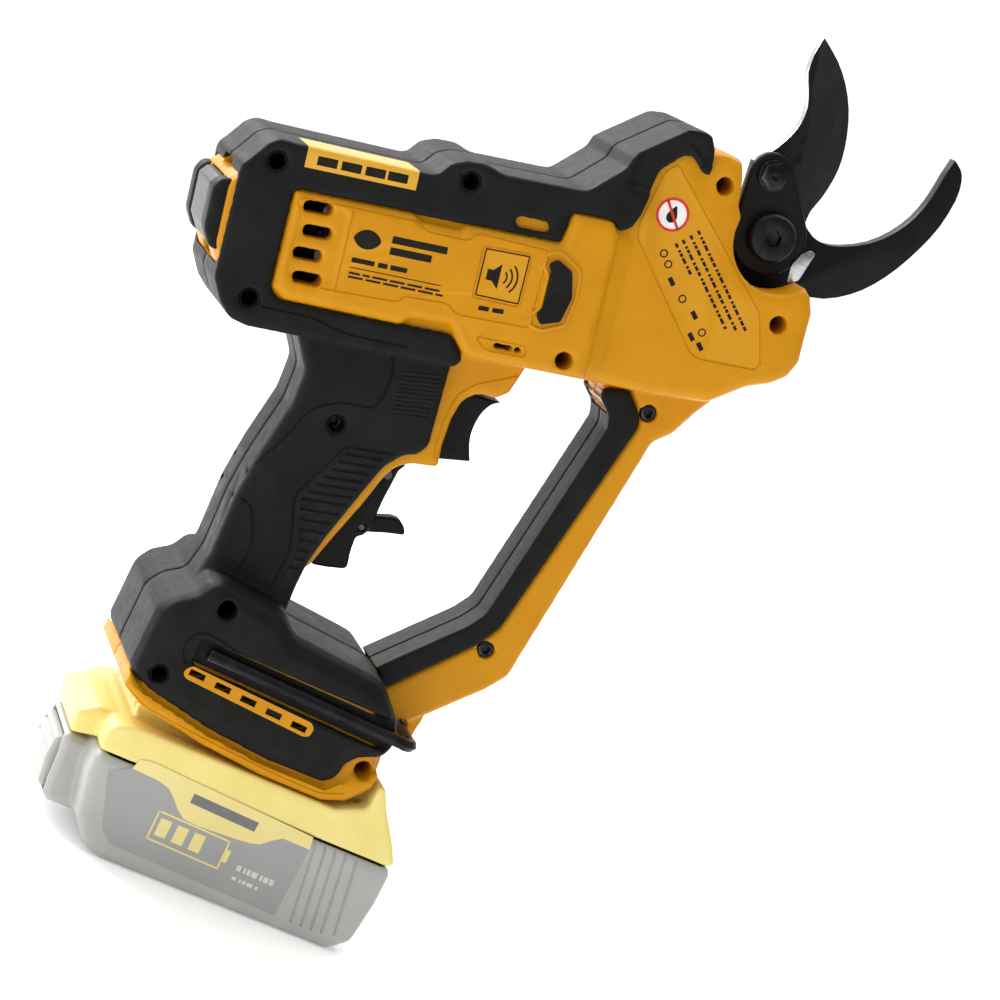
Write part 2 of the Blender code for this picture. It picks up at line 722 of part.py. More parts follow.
# --- motor and gearbox --------------------------------------------------
def ring_part(outer, inner, u_low, u_high, name, finish_material, parent=None, steps=24):
    half = (u_high - u_low) / 2
    profile = [(outer, half), (outer, -half), (inner, -half), (inner, half)]
    made = turned(profile, barrel_matrix((u_low + u_high) / 2), steps)
    return finish(made, name, finish_material, (*axis_point((u_low + u_high) / 2),), parent)


def axis_point(u):
    x, z = b(u, -motor_axis_drop)
    return (x, 0, z)


def stator_outline():
    inner = []
    poles = 6
    for k in range(poles):
        middle = 360 / poles * k
        shoe = arc(0, 0, rotor_radius + 0.8, middle - 24, middle + 24, 4)
        slot_top, slot_low = motor_radius - 3.0, rotor_radius + 3.6
        slot = [(slot_low - 0.4, middle + 24), (slot_low, middle + 9), (slot_top, middle + 9), (slot_top, middle + 51),
                (slot_low, middle + 51), (slot_low - 0.4, middle + 36)]
        inner += shoe + [(r * math.cos(math.radians(a)), r * math.sin(math.radians(a))) for r, a in slot]
    return [circle(motor_radius, 30), inner]


def make_motor(steel, dark, copper, spin):
    rear = motor_front - motor_length
    stator = barrel_gear(stator_outline(), rear, motor_front)
    finish(stator, "stator", copper, axis_point(motor_front))
    half = motor_length / 2 - 2
    rotor_profile = [(rotor_radius, half), (rotor_radius, -half), (shaft_radius + 0.05, -half), (shaft_radius + 0.05, half)]
    middle = motor_front - motor_length / 2
    rotor = turned(rotor_profile, barrel_matrix(middle), 24)
    finish(rotor, "rotor_core", steel, axis_point(middle), spin)
    shaft_end = planet_front
    shaft = along_barrel(shaft_radius, -172, shaft_end - planet_width, sides=14)
    sun = barrel_gear([gear_outline(sun_teeth, planet_module, 0)], shaft_end - planet_width - 0.8, shaft_end)
    finish(join(shaft, sun), "motor_shaft", steel, axis_point(shaft_end), spin)
    hub = along_barrel(7, -162.5, -154, sides=18)
    disc = along_barrel(19.5, -155.5, -154, sides=24)
    join(hub, disc)
    for k in range(9):
        blade = box(6, 19, -0.6, 0.6, -8.0, 0)
        turn = Matrix.Rotation(2 * math.pi * k / 9, 4, "Z")
        blade.data.transform(barrel_matrix(-154.5) @ turn)
        join(hub, blade)
    cut(hub, along_barrel(shaft_radius + 0.05, -170, -150, sides=14))
    finish(hub, "cooling_fan", dark, axis_point(-158), spin)
    ring_part(7.5, shaft_radius + 0.06, -170.5, -165.5, "rear_bearing", steel)
    ring_part(8, shaft_radius + 0.06, -93.5, -88.5, "front_bearing", steel)


def make_gearbox(steel, grey, carrier_spin, planet_spins):
    low = planet_front - planet_width
    high = planet_front
    pitch = planet_module * ring_teeth / 2
    space = gear_outline(ring_teeth, planet_module, 0, thickness=0.54, addendum=1.1, dedendum=0.8)
    case = along_barrel(gear_case_radius, -94, gear_case_step, sides=28)
    join(case, along_barrel(snout_radius, gear_case_step - 1, -47.5, sides=24))
    teeth_cut = barrel_gear([space], low - 1.0, high + 0.6)
    cut(case, teeth_cut, along_barrel(pitch + 1.5, high + 0.5, gear_case_step - 1.5, sides=28))
    cut(case, along_barrel(pitch - 0.5, -88, low - 0.9, sides=24))
    cut(case, along_barrel(8.02, -95, -87, sides=24), along_barrel(9.02, -74, -40, sides=24))
    finish(case, "gear_case", grey, axis_point(high))
    distance = planet_module * (sun_teeth + planet_teeth) / 2
    for k in range(planet_count):
        angle = 2 * math.pi * k / planet_count
        outline = gear_outline(planet_teeth, planet_module, angle + math.pi + math.pi / planet_teeth)
        cx, cy = distance * math.cos(angle), distance * math.sin(angle)
        planet = plate([outline, circle(2.06, 12)], planet_width)
        middle = barrel_matrix((low + high) / 2) @ Matrix.Translation((cx * MM, cy * MM, 0))
        planet.transform(middle)
        finish(add_object("planet", planet), "planet_gear_%d" % (k + 1), steel,
               middle.translation / MM, planet_spins[k])
    carrier = along_barrel(distance + 4.4, high + 0.8, high + 4.2, sides=24)
    for k in range(planet_count):
        angle = 2 * math.pi * k / planet_count
        pin = cylinder(1.95, (0, 0, -planet_width - 0.7), (0, 0, 1.5), 12)
        pin.data.transform(barrel_matrix(high) @ Matrix.Translation(
            (distance * math.cos(angle) * MM, distance * math.sin(angle) * MM, 0)))
        join(carrier, pin)
    stem_end = countershaft_u - cone_gear_radius - 3
    join(carrier, along_barrel(4.0, high + 4, stem_end, sides=24))
    finish(carrier, "planet_carrier", steel, axis_point(high), carrier_spin)
    ring_part(9, 4.06, -55.0, -49.0, "output_bearing", steel, steps=24)


def cone_gear(teeth, other_teeth, phase):
    """A bevel gear's teeth, large end at z = 0, small end towards +Z and the apex."""
    radius, other = bevel_module * teeth / 2, bevel_module * other_teeth / 2
    cone = math.hypot(radius, other)
    factor = (cone - bevel_face) / cone
    depth = other * (1 - factor)
    mesh = plate([gear_outline(teeth, bevel_module, phase, thickness=0.31, addendum=0.55, dedendum=1.0)], depth)
    for vertex in mesh.vertices:
        if vertex.co.z > 0:
            vertex.co.x *= factor
            vertex.co.y *= factor
    mesh.transform(Matrix.Translation((0, 0, depth / 2 * MM)))
    return mesh, depth


def make_bevel_pair(steel, carrier_spin, counter_spin):
    start = countershaft_u - cone_gear_radius
    mesh, depth = cone_gear(bevel_pinion_teeth, bevel_gear_teeth, math.pi / 2 + math.pi / bevel_pinion_teeth)
    mesh.transform(barrel_matrix(start))
    pinion = join(add_object("pinion", mesh), along_barrel(5.6, start - 4, start + 0.5, sides=24))
    cut(pinion, along_barrel(4.05, start - 5, start - 2.7, sides=24))
    finish(pinion, "bevel_pinion", steel, axis_point(start), carrier_spin)
    x, z = b(countershaft_u, -motor_axis_drop)
    mesh, depth = cone_gear(bevel_gear_teeth, bevel_pinion_teeth, 0)
    # Local Z towards +Y and local X back along the barrel, to the pinion.
    c, s = math.cos(barrel_tilt), math.sin(barrel_tilt)
    frame = Matrix(((-c, -s, 0, x * MM), (0, 0, 1, -cone_pinion_radius * MM), (-s, c, 0, z * MM), (0, 0, 0, 1)))
    mesh.transform(frame)
    gear = join(add_object("gear", mesh), along_y(12.2, x, z, -cone_pinion_radius - 3, -cone_pinion_radius + 0.2, 36))
    cut(gear, along_y(3.05, x, z, -20, 20, 20))
    finish(gear, "bevel_gear", steel, (x, 0, z), counter_spin)
    shaft = along_y(3.0, x, z, -19, final_layer + final_width + 4, 20)
    finish(shaft, "countershaft", steel, (x, 0, z), counter_spin)
    bearing = turned([(6, 2), (6, -2), (3.06, -2), (3.06, 2)],
                     Matrix.Translation((x * MM, -15 * MM, z * MM)) @ Matrix.Rotation(math.pi / 2, 4, "X"), 24)
    finish(bearing, "countershaft_bearing", steel, (x, 0, z))


def make_final_pair(steel, counter_spin, blade_swing):
    x, z = b(countershaft_u, -motor_axis_drop)
    towards_pivot = math.atan2(pivot_z - z, pivot_x - x)
    low, high = final_layer, final_layer + final_width
    outline = gear_outline(pinion_teeth, final_module, towards_pivot)
    pinion = cross_gear([outline, circle(3.05, 20)], x, z, low, high)
    finish(pinion, "drive_pinion", steel, (x, 0, z), counter_spin)
    back = towards_pivot + math.pi
    pitch_angle = 2 * math.pi / sector_full_teeth
    full = gear_outline(sector_full_teeth, final_module, back + pitch_angle / 2)
    per_tooth = len(full) // sector_full_teeth
    first = per_tooth * (sector_full_teeth - 1)
    points = (full + full)[first:first + per_tooth * sector_teeth]
    hub_start = math.degrees(back + pitch_angle * (sector_teeth - 0.6))
    hub_end = math.degrees(back - pitch_angle * 1.4) + 360
    points = points + arc(0, 0, 8.5, hub_start + 25, hub_end - 25, 10)
    sector = cross_gear([points], pivot_x, pivot_z, low, high)
    cut(sector, along_y(pivot_shaft_radius + 0.05, pivot_x, pivot_z, 0, 30, 24))
    finish(sector, "drive_sector", steel, (pivot_x, 0, pivot_z), blade_swing)


# --- blades -------------------------------------------------------------
def make_blades(blade_steel, steel, swing):
    pivot = (pivot_x, 0, pivot_z)
    hub = arc(pivot_x, pivot_z, blade_hub_radius, 172, 380, 14)
    edge = smooth_curve([(91.2, 286.4), (91.0, 291), (92.4, 296.5), (93.3, 304.2), (92.8, 311.4), (90.5, 319.6),
                         (87.0, 327.3), (82.0, 334.3), (75.9, 340.0), (68.2, 344.8)])
    spine = smooth_curve([(67.5, 338.5), (68.3, 332.3), (71.2, 327.0), (73.6, 321.6), (74.0, 315.4), (72.3, 309.3),
                          (69.3, 303.4), (64.8, 298.0)])
    blade = prism(edge + spine + hub, -blade_thickness - GAP, -GAP)
    bore = pivot_shaft_radius + 0.05
    stud_x, stud_z = 72.0, 296.2
    cut(blade, along_y(bore, pivot_x, pivot_z, -10, 10, 24), along_y(2.55, stud_x, stud_z, -10, 10, 16))
    finish(blade, "cutting_blade", blade_steel, pivot, swing)

    outer = smooth_curve([(100.5, 263.4), (110.5, 266.2), (118.6, 271.6), (124.6, 278.2), (129.6, 286.4),
                          (133.6, 295.6), (136.6, 305.4), (137.6, 316), (136.4, 322.6), (134.2, 326), (130.8, 328)])
    inner = smooth_curve([(129.9, 321.3), (129.2, 313), (127.1, 304.6), (123, 297.0), (116.9, 290.2), (109.2, 285.4),
                          (102.8, 283.2), (97.3, 283.6), (92.5, 286.2), (84, 290.5)])
    root = [b(-9, 9), b(-13.5, -2), b(-9, -17), b(1, -33), b(11, -33), b(14.4, -24)]
    hook = prism(outer + inner + root, 0, hook_thickness)
    screw_x, screw_z = screw_places[4]
    cut(hook, along_y(bore + GAP, pivot_x, pivot_z, -10, 10, 24),
        along_y(screw_radius + bore_clearance, screw_x, screw_z, -10, 10, 12))
    finish(hook, "hook_blade", blade_steel, pivot)

    plate_back = -blade_thickness - 2 * GAP
    stud_angle = math.degrees(math.atan2(stud_z - pivot_z, stud_x - pivot_x))
    lean = 15
    link = arc(pivot_x, pivot_z, 13.4, stud_angle + 90 - lean, stud_angle + 270 + lean, 14)
    link += arc(stud_x, stud_z, 7.8, stud_angle - 90 + lean, stud_angle + 90 - lean, 8)
    link_plate = prism(link, plate_back - link_thickness, plate_back, 0.8, 1)
    cut(link_plate, along_y(bore, pivot_x, pivot_z, -20, 10, 24), along_y(2.55, stud_x, stud_z, -20, 10, 16))
    finish(link_plate, "link_plate", steel, pivot, swing)

    face = plate_back - link_thickness - GAP
    turn = Matrix.Rotation(math.pi / 2, 4, "X")
    rear_end = final_layer + final_width + 5.2
    profile = [(0, -face + 4.2), (7.4, -face + 4.2), (8.3, -face + 3.2), (8.3, -face), (pivot_shaft_radius, -face),
               (pivot_shaft_radius, -rear_end), (0, -rear_end)]
    bolt = turned(profile, Matrix.Translation(Vector(pivot) * MM) @ turn, 32)
    cut(bolt, cylinder(3.0, (pivot_x, face - 6, pivot_z), (pivot_x, face - 1.2, pivot_z), 6))
    finish(bolt, "pivot_bolt", steel, pivot, swing)
    nut = prism(circle(7.4, 6, pivot_x, pivot_z), final_layer + final_width + GAP, rear_end - 0.4)
    cut(nut, along_y(bore, pivot_x, pivot_z, 0, 40, 24))
    finish(nut, "pivot_nut", steel, pivot, swing)
    stud_profile = [(0, -face + 2.8), (4.6, -face + 2.8), (5.4, -face + 2.0), (5.4, -face), (2.5, -face),
                    (2.5, GAP + 0.2), (0, GAP + 0.2)]
    stud = turned(stud_profile, Matrix.Translation((stud_x * MM, 0, stud_z * MM)) @ turn, 24)
    cut(stud, cylinder(2.0, (stud_x, face - 4, stud_z), (stud_x, face - 1.2, stud_z), 6))
    finish(stud, "blade_stud", steel, pivot, swing)


# --- controls and electronics -------------------------------------------
def make_controls(black, steel, board_green, trigger_slide, lever_swing, latch_swing):
    trigger = prism(smooth_curve(trigger_face) + rounded(trigger_outline, 0.8, 1)[2:],
                    -trigger_half_width, trigger_half_width, 1.2, 2)
    finish(trigger, "trigger", black, (17, 0, 176), trigger_slide)
    spring_radius, wire, turns = 2.6, 0.45, 5
    sides = 9
    points = [(1.2 - 4.8 * t / (turns * sides), spring_radius * math.cos(2 * math.pi * t / sides),
               175 + spring_radius * math.sin(2 * math.pi * t / sides)) for t in range(turns * sides + 1)]
    finish(tube(points, wire, 0), "trigger_spring", steel, (2, 0, 175))
    switch = box(-23.4, -4.4, -8, 8, 165.5, 187.5)
    join(switch, box(-18, -9, -6, 6, 162.5, 166))
    finish(switch, "switch_block", black)

    lever = prism(rounded(lever_outline, 1.5, 2), -lever_half_width, lever_half_width, 1.5, 2)
    latch_x, latch_z = latch_pivot
    slot = prism([(latch_x - 3.4, 134.6), (6, 141), (6, 123), (latch_x - 3.4, 127.2)], -3.4, 3.4)
    cut(lever, slot, along_y(1.3, latch_x, latch_z, -10, 10, 12))
    cut(lever, along_y(1.8, *lever_pivot, -10, 10, 16))
    finish(lever, "safety_lever", black, (lever_pivot[0], 0, lever_pivot[1]), lever_swing)
    pin = along_y(1.5, *lever_pivot, -lever_half_width - 3, lever_half_width + 3, 16)
    finish(pin, "lever_pin", steel)
    tab = arc(latch_x, latch_z, 2.3, 120, 290, 6) + [(7.2, 131.9), (13.0, 133.6), (13.1, 134.6), (11.8, 136.4),
                                                     (9.4, 138.0), (6.9, 137.8), (1.8, 135.8)]
    latch = prism(tab, -3.0, 3.0, 0.5, 1)
    cut(latch, along_y(1.3, latch_x, latch_z, -10, 10, 12))
    finish(latch, "lever_latch", black, (latch_x, 0, latch_z), latch_swing)
    finish(along_y(1.0, latch_x, latch_z, -6, 6, 12), "latch_pin", steel, (latch_x, 0, latch_z), lever_swing)

    finish(box(-46, 18, -28, 28, 74, 75.6), "control_board", board_green)
    terminals = box(-44, -22, -19, 19, 57.2, 64)
    for y in (-15, -5, 5, 15):
        join(terminals, box(-42, -30, y - 0.5, y + 0.5, 48.5, 58))
    finish(terminals, "terminal_block", black)


def tube(points, radius, resolution):
    """A round wire through the points, as a mesh with closed ends."""
    curve = bpy.data.curves.new("wire", "CURVE")
    curve.dimensions = "3D"
    curve.bevel_depth = radius * MM
    curve.bevel_resolution = resolution
    curve.use_fill_caps = True
    spline = curve.splines.new("POLY")
    spline.points.add(len(points) - 1)
    for point, place in zip(spline.points, points):
        point.co = (*(Vector(place) * MM), 1)
    holder = bpy.data.objects.new("wire", curve)
    collection.objects.link(holder)
    bpy.context.view_layer.update()
    mesh = bpy.data.meshes.new_from_object(holder.evaluated_get(bpy.context.evaluated_depsgraph_get()))
    bpy.data.objects.remove(holder)
    clean(mesh, dissolve=False)
    return add_object("wire", mesh)


def make_hex_key(steel, slide):
    depth = -foot_core_half_width - key_radius - 2 * GAP
    x_end, z_end = key_hole
    corner = 4.5
    points = [(-38, depth, 76.8), (x_end - corner, depth, z_end + 0.4)]
    for k in range(1, 5):
        a = math.pi / 2 * k / 5
        points.append((x_end - corner + corner * math.sin(a), depth + corner * (1 - math.cos(a)), z_end + 0.2))
    points += [(x_end, depth + corner, z_end), (x_end, -4, z_end)]
    finish(tube(points, key_radius, 1), "hex_key", steel, (0, depth, 76), slide)


# --- battery ------------------------------------------------------------
def battery_outline():
    f, r, h = battery_front, battery_rear, battery_case_height
    return [(r, h), (r, h - 9), (r + 3.4, 10), (r + 9.5, 2.2, 4), (r + 16, 0), (f - 8.5, 0, 5), (f - 2.2, 5, 5),
            (f - 0.2, 20), (f, h)]


def make_battery(grey, pale_yellow, dark_grey, copper, pack_slide, button_press):
    half = battery_half_width
    h = battery_case_height
    case = prism(rounded(battery_outline(), 3), -half, half, 4, 2)
    frame_block = prism(rounded([(-66.0, 31), (-64.5, 9), (-62, 7), (-50, 7), (-50, 31)], 1.5, 1), -21, 21, 2, 1)
    join(case, frame_block)
    inner = [(x, z) for x, z in [(-53.6, h + 5), (-51, 12), (-45.5, 4.5), (-41, 2.4), (43, 2.4), (47, 7),
                                 (48.6, 20), (48.8, h + 5)]]
    cut(case, prism(inner, -half + 2.5, half - 2.5), box(-90, -59.5, -17.6, 17.6, 8.4, 29.6))
    finish(case, "battery_case", grey, (0, 0, 0), pack_slide)

    seam = h + GAP
    top_z = battery_top_height
    shell = [(battery_rear + 0.4, seam), (battery_rear, 40), (-55, 43.4), (-50, top_z), (24, top_z), (33.9, 49.6),
             (34.4, 57.6), (36.4, 58.6), (40.6, 51), (48, 40.6), (battery_front + 0.2, seam)]
    top = prism(rounded(shell, 1.5, 2), -half + 0.3, half - 0.3, 5, 2)
    gauge = prism(rounded([(-56, seam), (-65.6, 32), (-66.4, 39.8), (-60, 43.8), (-53, 44.4), (-53, seam)], 1, 1),
                  -23, 23, 2, 2)
    block = prism([(-48, 42), (-48, rail_block_top), (33, rail_block_top), (35.5, 48), (35, 42)],
                  -rail_block_half_width, rail_block_half_width, 0.8, 1)
    join(top, gauge, block)
    hollow = [(-53, 20), (-53, 40.8), (-48, 42.6), (28, 42.6), (34, 42.6), (46, 39), (48.8, 20)]
    cut(top, prism(hollow, -half + 3, half - 3))
    for side in (-1, 1):
        inner_y, outer_y = side * (rail_block_half_width - 2.4), side * (rail_block_half_width + 5)
        cut(top, box(-60, 33.4, min(inner_y, outer_y), max(inner_y, outer_y), 46.6, 49.6))
    for y in (-15, -5, 5, 15):
        cut(top, box(-60, -24, y - 1.1, y + 1.1, 47.0, 60))
    finish(top, "battery_top", pale_yellow, (0, 0, 0), pack_slide)

    button = prism(rounded([(-67.4, 27.5), (-68.0, 20), (-66.5, 10.5), (-63.4, 9.4), (-63.4, 28.6)], 1, 1),
                   -17, 17, 1, 1)
    finish(button, "battery_button", dark_grey, (-66, 0, 19), button_press)

    cells = None
    for row in range(2):
        for k in range(5):
            cell = along_y(cell_radius, -38.5 + 2 * (cell_radius - 0.15) * k, 13.2 + 2 * (cell_radius - 0.3) * row,
                           -cell_length / 2, cell_length / 2, 12)
            cells = cell if cells is None else join(cells, cell)
    finish(cells, "cell_pack", copper, (0, 0, 13), pack_slide)


# --- assembly -----------------------------------------------------------
def joint_empty(name, place, parent=None):
    made = bpy.data.objects.new(name, None)
    made.empty_display_size = 0.01
    made.location = Vector(place) * MM
    collection.objects.link(made)
    if parent:
        bpy.context.view_layer.update()
        made.parent = parent
        made.matrix_parent_inverse = parent.matrix_world.inverted()
    return made


for old in list(bpy.data.objects):
    bpy.data.objects.remove(old)
collection = bpy.data.collections.new("battery_pruner")
bpy.context.scene.collection.children.link(collection)

yellow = material("glass_filled_nylon_yellow", (0.75, 0.36, 0.01), 0.45)
soft_black = material("soft_overmould_black", (0.012, 0.012, 0.012), 0.7)
plain_black = material("nylon_black", (0.01, 0.01, 0.01), 0.5)
steel = material("turned_steel", (0.42, 0.42, 0.42), 0.35, 1.0)
black_steel = material("blackened_steel", (0.012, 0.012, 0.013), 0.4, 0.8)
blade_steel = material("coated_blade_steel", (0.01, 0.01, 0.011), 0.35, 0.5)
copper = material("copper_and_laminations", (0.45, 0.2, 0.1), 0.4, 0.8)
badge = material("badge_grey", (0.45, 0.47, 0.48), 0.4)
zinc = material("cast_gear_case", (0.35, 0.35, 0.34), 0.5, 0.9)
board = material("circuit_board", (0.01, 0.09, 0.03), 0.5)
pale_grey = material("battery_shell_grey", (0.36, 0.36, 0.36), 0.55)
pale_yellow = material("battery_shell_yellow", (0.85, 0.7, 0.25), 0.5)
cell_blue = material("cell_wrap", (0.05, 0.16, 0.4), 0.4)

pivot_axis = joint_empty("blade_pivot_axis", (pivot_x, 0, pivot_z))
carrier_axis = joint_empty("carrier_axis", axis_point(planet_front))
rotor_axis = joint_empty("rotor_axis", axis_point(motor_front))
counter_x, counter_z = b(countershaft_u, -motor_axis_drop)
counter_axis = joint_empty("countershaft_axis", (counter_x, 0, counter_z))
trigger_axis = joint_empty("trigger_slide", (17, 0, 176))
lever_axis = joint_empty("lever_axis", (lever_pivot[0], 0, lever_pivot[1]))
latch_axis = joint_empty("latch_axis", (latch_pivot[0], 0, latch_pivot[1]), lever_axis)
pack_axis = joint_empty("battery_slide", (0, 0, 0))
button_axis = joint_empty("battery_button_slide", (-66, 0, 19), pack_axis)
key_axis = joint_empty("hex_key_slide", (0, -foot_half_width, 76))
planet_axes = []
for k in range(planet_count):
    distance = planet_module * (sun_teeth + planet_teeth) / 2
    angle = 2 * math.pi * k / planet_count
    place = barrel_matrix(planet_front - planet_width / 2) @ Vector((distance * math.cos(angle) * MM,
                                                            distance * math.sin(angle) * MM, 0))
    planet_axes.append(joint_empty("planet_axis_%d" % (k + 1), place / MM, carrier_axis))

make_housing(yellow)
make_overmould(soft_black)
make_guard_pads(soft_black)
make_trim(soft_black, badge)
add_screws(black_steel)
make_motor(steel, plain_black, copper, rotor_axis)
make_gearbox(steel, zinc, carrier_axis, planet_axes)
make_bevel_pair(steel, carrier_axis, counter_axis)
make_final_pair(steel, counter_axis, pivot_axis)
make_blades(blade_steel, black_steel, pivot_axis)
make_controls(plain_black, steel, board, trigger_axis, lever_axis, latch_axis)
make_hex_key(black_steel, key_axis)
make_battery(pale_grey, pale_yellow, pale_grey, cell_blue, pack_axis, button_axis)
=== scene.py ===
import json
import math
import bpy
from mathutils import Matrix, Vector


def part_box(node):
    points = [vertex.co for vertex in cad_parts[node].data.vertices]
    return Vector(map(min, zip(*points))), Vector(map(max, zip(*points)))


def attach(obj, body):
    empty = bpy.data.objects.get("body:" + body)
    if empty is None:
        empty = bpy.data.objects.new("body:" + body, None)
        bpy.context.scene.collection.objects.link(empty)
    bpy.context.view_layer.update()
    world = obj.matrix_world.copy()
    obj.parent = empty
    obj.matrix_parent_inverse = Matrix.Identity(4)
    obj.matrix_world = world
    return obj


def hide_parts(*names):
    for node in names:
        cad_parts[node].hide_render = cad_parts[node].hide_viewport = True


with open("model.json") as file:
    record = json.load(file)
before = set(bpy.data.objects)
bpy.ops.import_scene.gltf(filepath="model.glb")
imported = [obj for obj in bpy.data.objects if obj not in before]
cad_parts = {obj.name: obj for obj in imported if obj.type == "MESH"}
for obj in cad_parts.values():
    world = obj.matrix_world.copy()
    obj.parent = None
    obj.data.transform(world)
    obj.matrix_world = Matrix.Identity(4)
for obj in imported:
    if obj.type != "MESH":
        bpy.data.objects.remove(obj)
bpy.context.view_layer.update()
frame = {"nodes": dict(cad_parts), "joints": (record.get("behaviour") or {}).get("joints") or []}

joints = {joint["name"]: joint for joint in frame["joints"]}
pivot = joints["blade_pivot"]["pos_m"]
barrelAxis = Vector(joints["rotor_spin"]["axis"]).normalized()
mm = 0.001
print("stage: frame loaded", len(frame["nodes"]), "nodes")


def barrelPoint(u, v):
    # u runs along the barrel from the blade pivot and v square to it, both in millimetres
    return (pivot[0] + (u * barrelAxis.x - v * barrelAxis.z) * mm,
            pivot[2] + (u * barrelAxis.z + v * barrelAxis.x) * mm)


def barrelPath(*places):
    return [barrelPoint(u, v) for u, v in places]


def sidePath(*places):
    return [(x * mm, z * mm) for x, z in places]


# colour and nodes
def linearColour(hexValue, alpha=1.0):
    parts = [int(hexValue[k:k + 2], 16) / 255 for k in (1, 3, 5)]
    return tuple(c / 12.92 if c <= 0.04045 else ((c + 0.055) / 1.055) ** 2.4 for c in parts) + (alpha,)


def addNode(tree, kind, settings=None, inputs=None):
    node = tree.nodes.new(kind)
    for key, value in (settings or {}).items():
        setattr(node, key, value)
    for key, value in (inputs or {}).items():
        if isinstance(value, bpy.types.NodeSocket):
            tree.links.new(value, node.inputs[key])
        else:
            node.inputs[key].default_value = value
    return node


def makeFinish(name, look):
    # look: two colours that drift into each other, gloss range, grain size and height in millimetres
    made = bpy.data.materials.new(name)
    made.use_nodes = True
    tree = made.node_tree
    shader = tree.nodes["Principled BSDF"]
    shader.inputs["Metallic"].default_value = look.get("metallic", 0.0)
    if not look.get("metallic"):
        shader.inputs["IOR"].default_value = look.get("ior", 1.5)
    shader.inputs["Specular IOR Level"].default_value = look.get("specular", 0.5)
    shader.inputs["Coat Weight"].default_value = look.get("coat", 0.0)
    shader.inputs["Coat Roughness"].default_value = 0.25
    place = addNode(tree, "ShaderNodeTexCoord").outputs["Object"]
    stretch = look.get("stretch")
    if stretch:
        place = addNode(tree, "ShaderNodeMapping", None, {"Vector": place, "Rotation": (0, -0.2269, 0),
                                                         "Scale": stretch}).outputs["Vector"]
    drift = addNode(tree, "ShaderNodeTexNoise", None, {"Vector": place, "Scale": 1 / (look["driftSize"] * mm),
                                                      "Detail": 3.0, "Roughness": 0.6})
    colour = addNode(tree, "ShaderNodeValToRGB", None, {"Fac": drift.outputs["Fac"]})
    colour.color_ramp.elements[0].position = 0.35
    colour.color_ramp.elements[0].color = linearColour(look["colours"][0])
    colour.color_ramp.elements[1].position = 0.65
    colour.color_ramp.elements[1].color = linearColour(look["colours"][1])
    paint = colour.outputs["Color"]
    if look.get("edgeWearAndHighlight"):
        # paler where the surface turns a corner: on the plastic and rubber a painted highlight along the edges, on
        # the steel rubbed wear
        turn = addNode(tree, "ShaderNodeNewGeometry").outputs["Pointiness"]
        edgeWearAndHighlightMix = addNode(tree, "ShaderNodeMapRange", None, {"Value": turn, "From Min": 0.53, "From Max": 0.62,
                                                           "To Min": 0.0, "To Max": look.get("edgeWearAndHighlightAmount", 0.5)})
        paint = addNode(tree, "ShaderNodeMix", {"data_type": "RGBA"}, {0: edgeWearAndHighlightMix.outputs["Result"], 6: paint,
                                                                     7: linearColour(look["edgeWearAndHighlight"])}).outputs[2]
    tree.links.new(paint, shader.inputs["Base Color"])
    grain = addNode(tree, "ShaderNodeTexNoise", None, {"Vector": place, "Scale": 1 / (look["grainSize"] * mm),
                                                      "Detail": 2.0, "Roughness": 0.5})
    gloss = addNode(tree, "ShaderNodeTexNoise", None, {"Vector": place, "Scale": 1 / (look["driftSize"] * 0.3 * mm),
                                                      "Detail": 5.0, "Roughness": 0.65})
    spread = addNode(tree, "ShaderNodeMapRange", None, {"Value": gloss.outputs["Fac"], "From Min": 0.3,
                                                       "From Max": 0.7, "To Min": look["gloss"][0],
                                                       "To Max": look["gloss"][1]})
    tree.links.new(spread.outputs["Result"], shader.inputs["Roughness"])
    bump = addNode(tree, "ShaderNodeBump", None, {"Height": grain.outputs["Fac"],
                                                 "Strength": look.get("strength", 0.6),
                                                 "Distance": look["grainHeight"] * mm})
    tree.links.new(bump.outputs["Normal"], shader.inputs["Normal"])
    return made


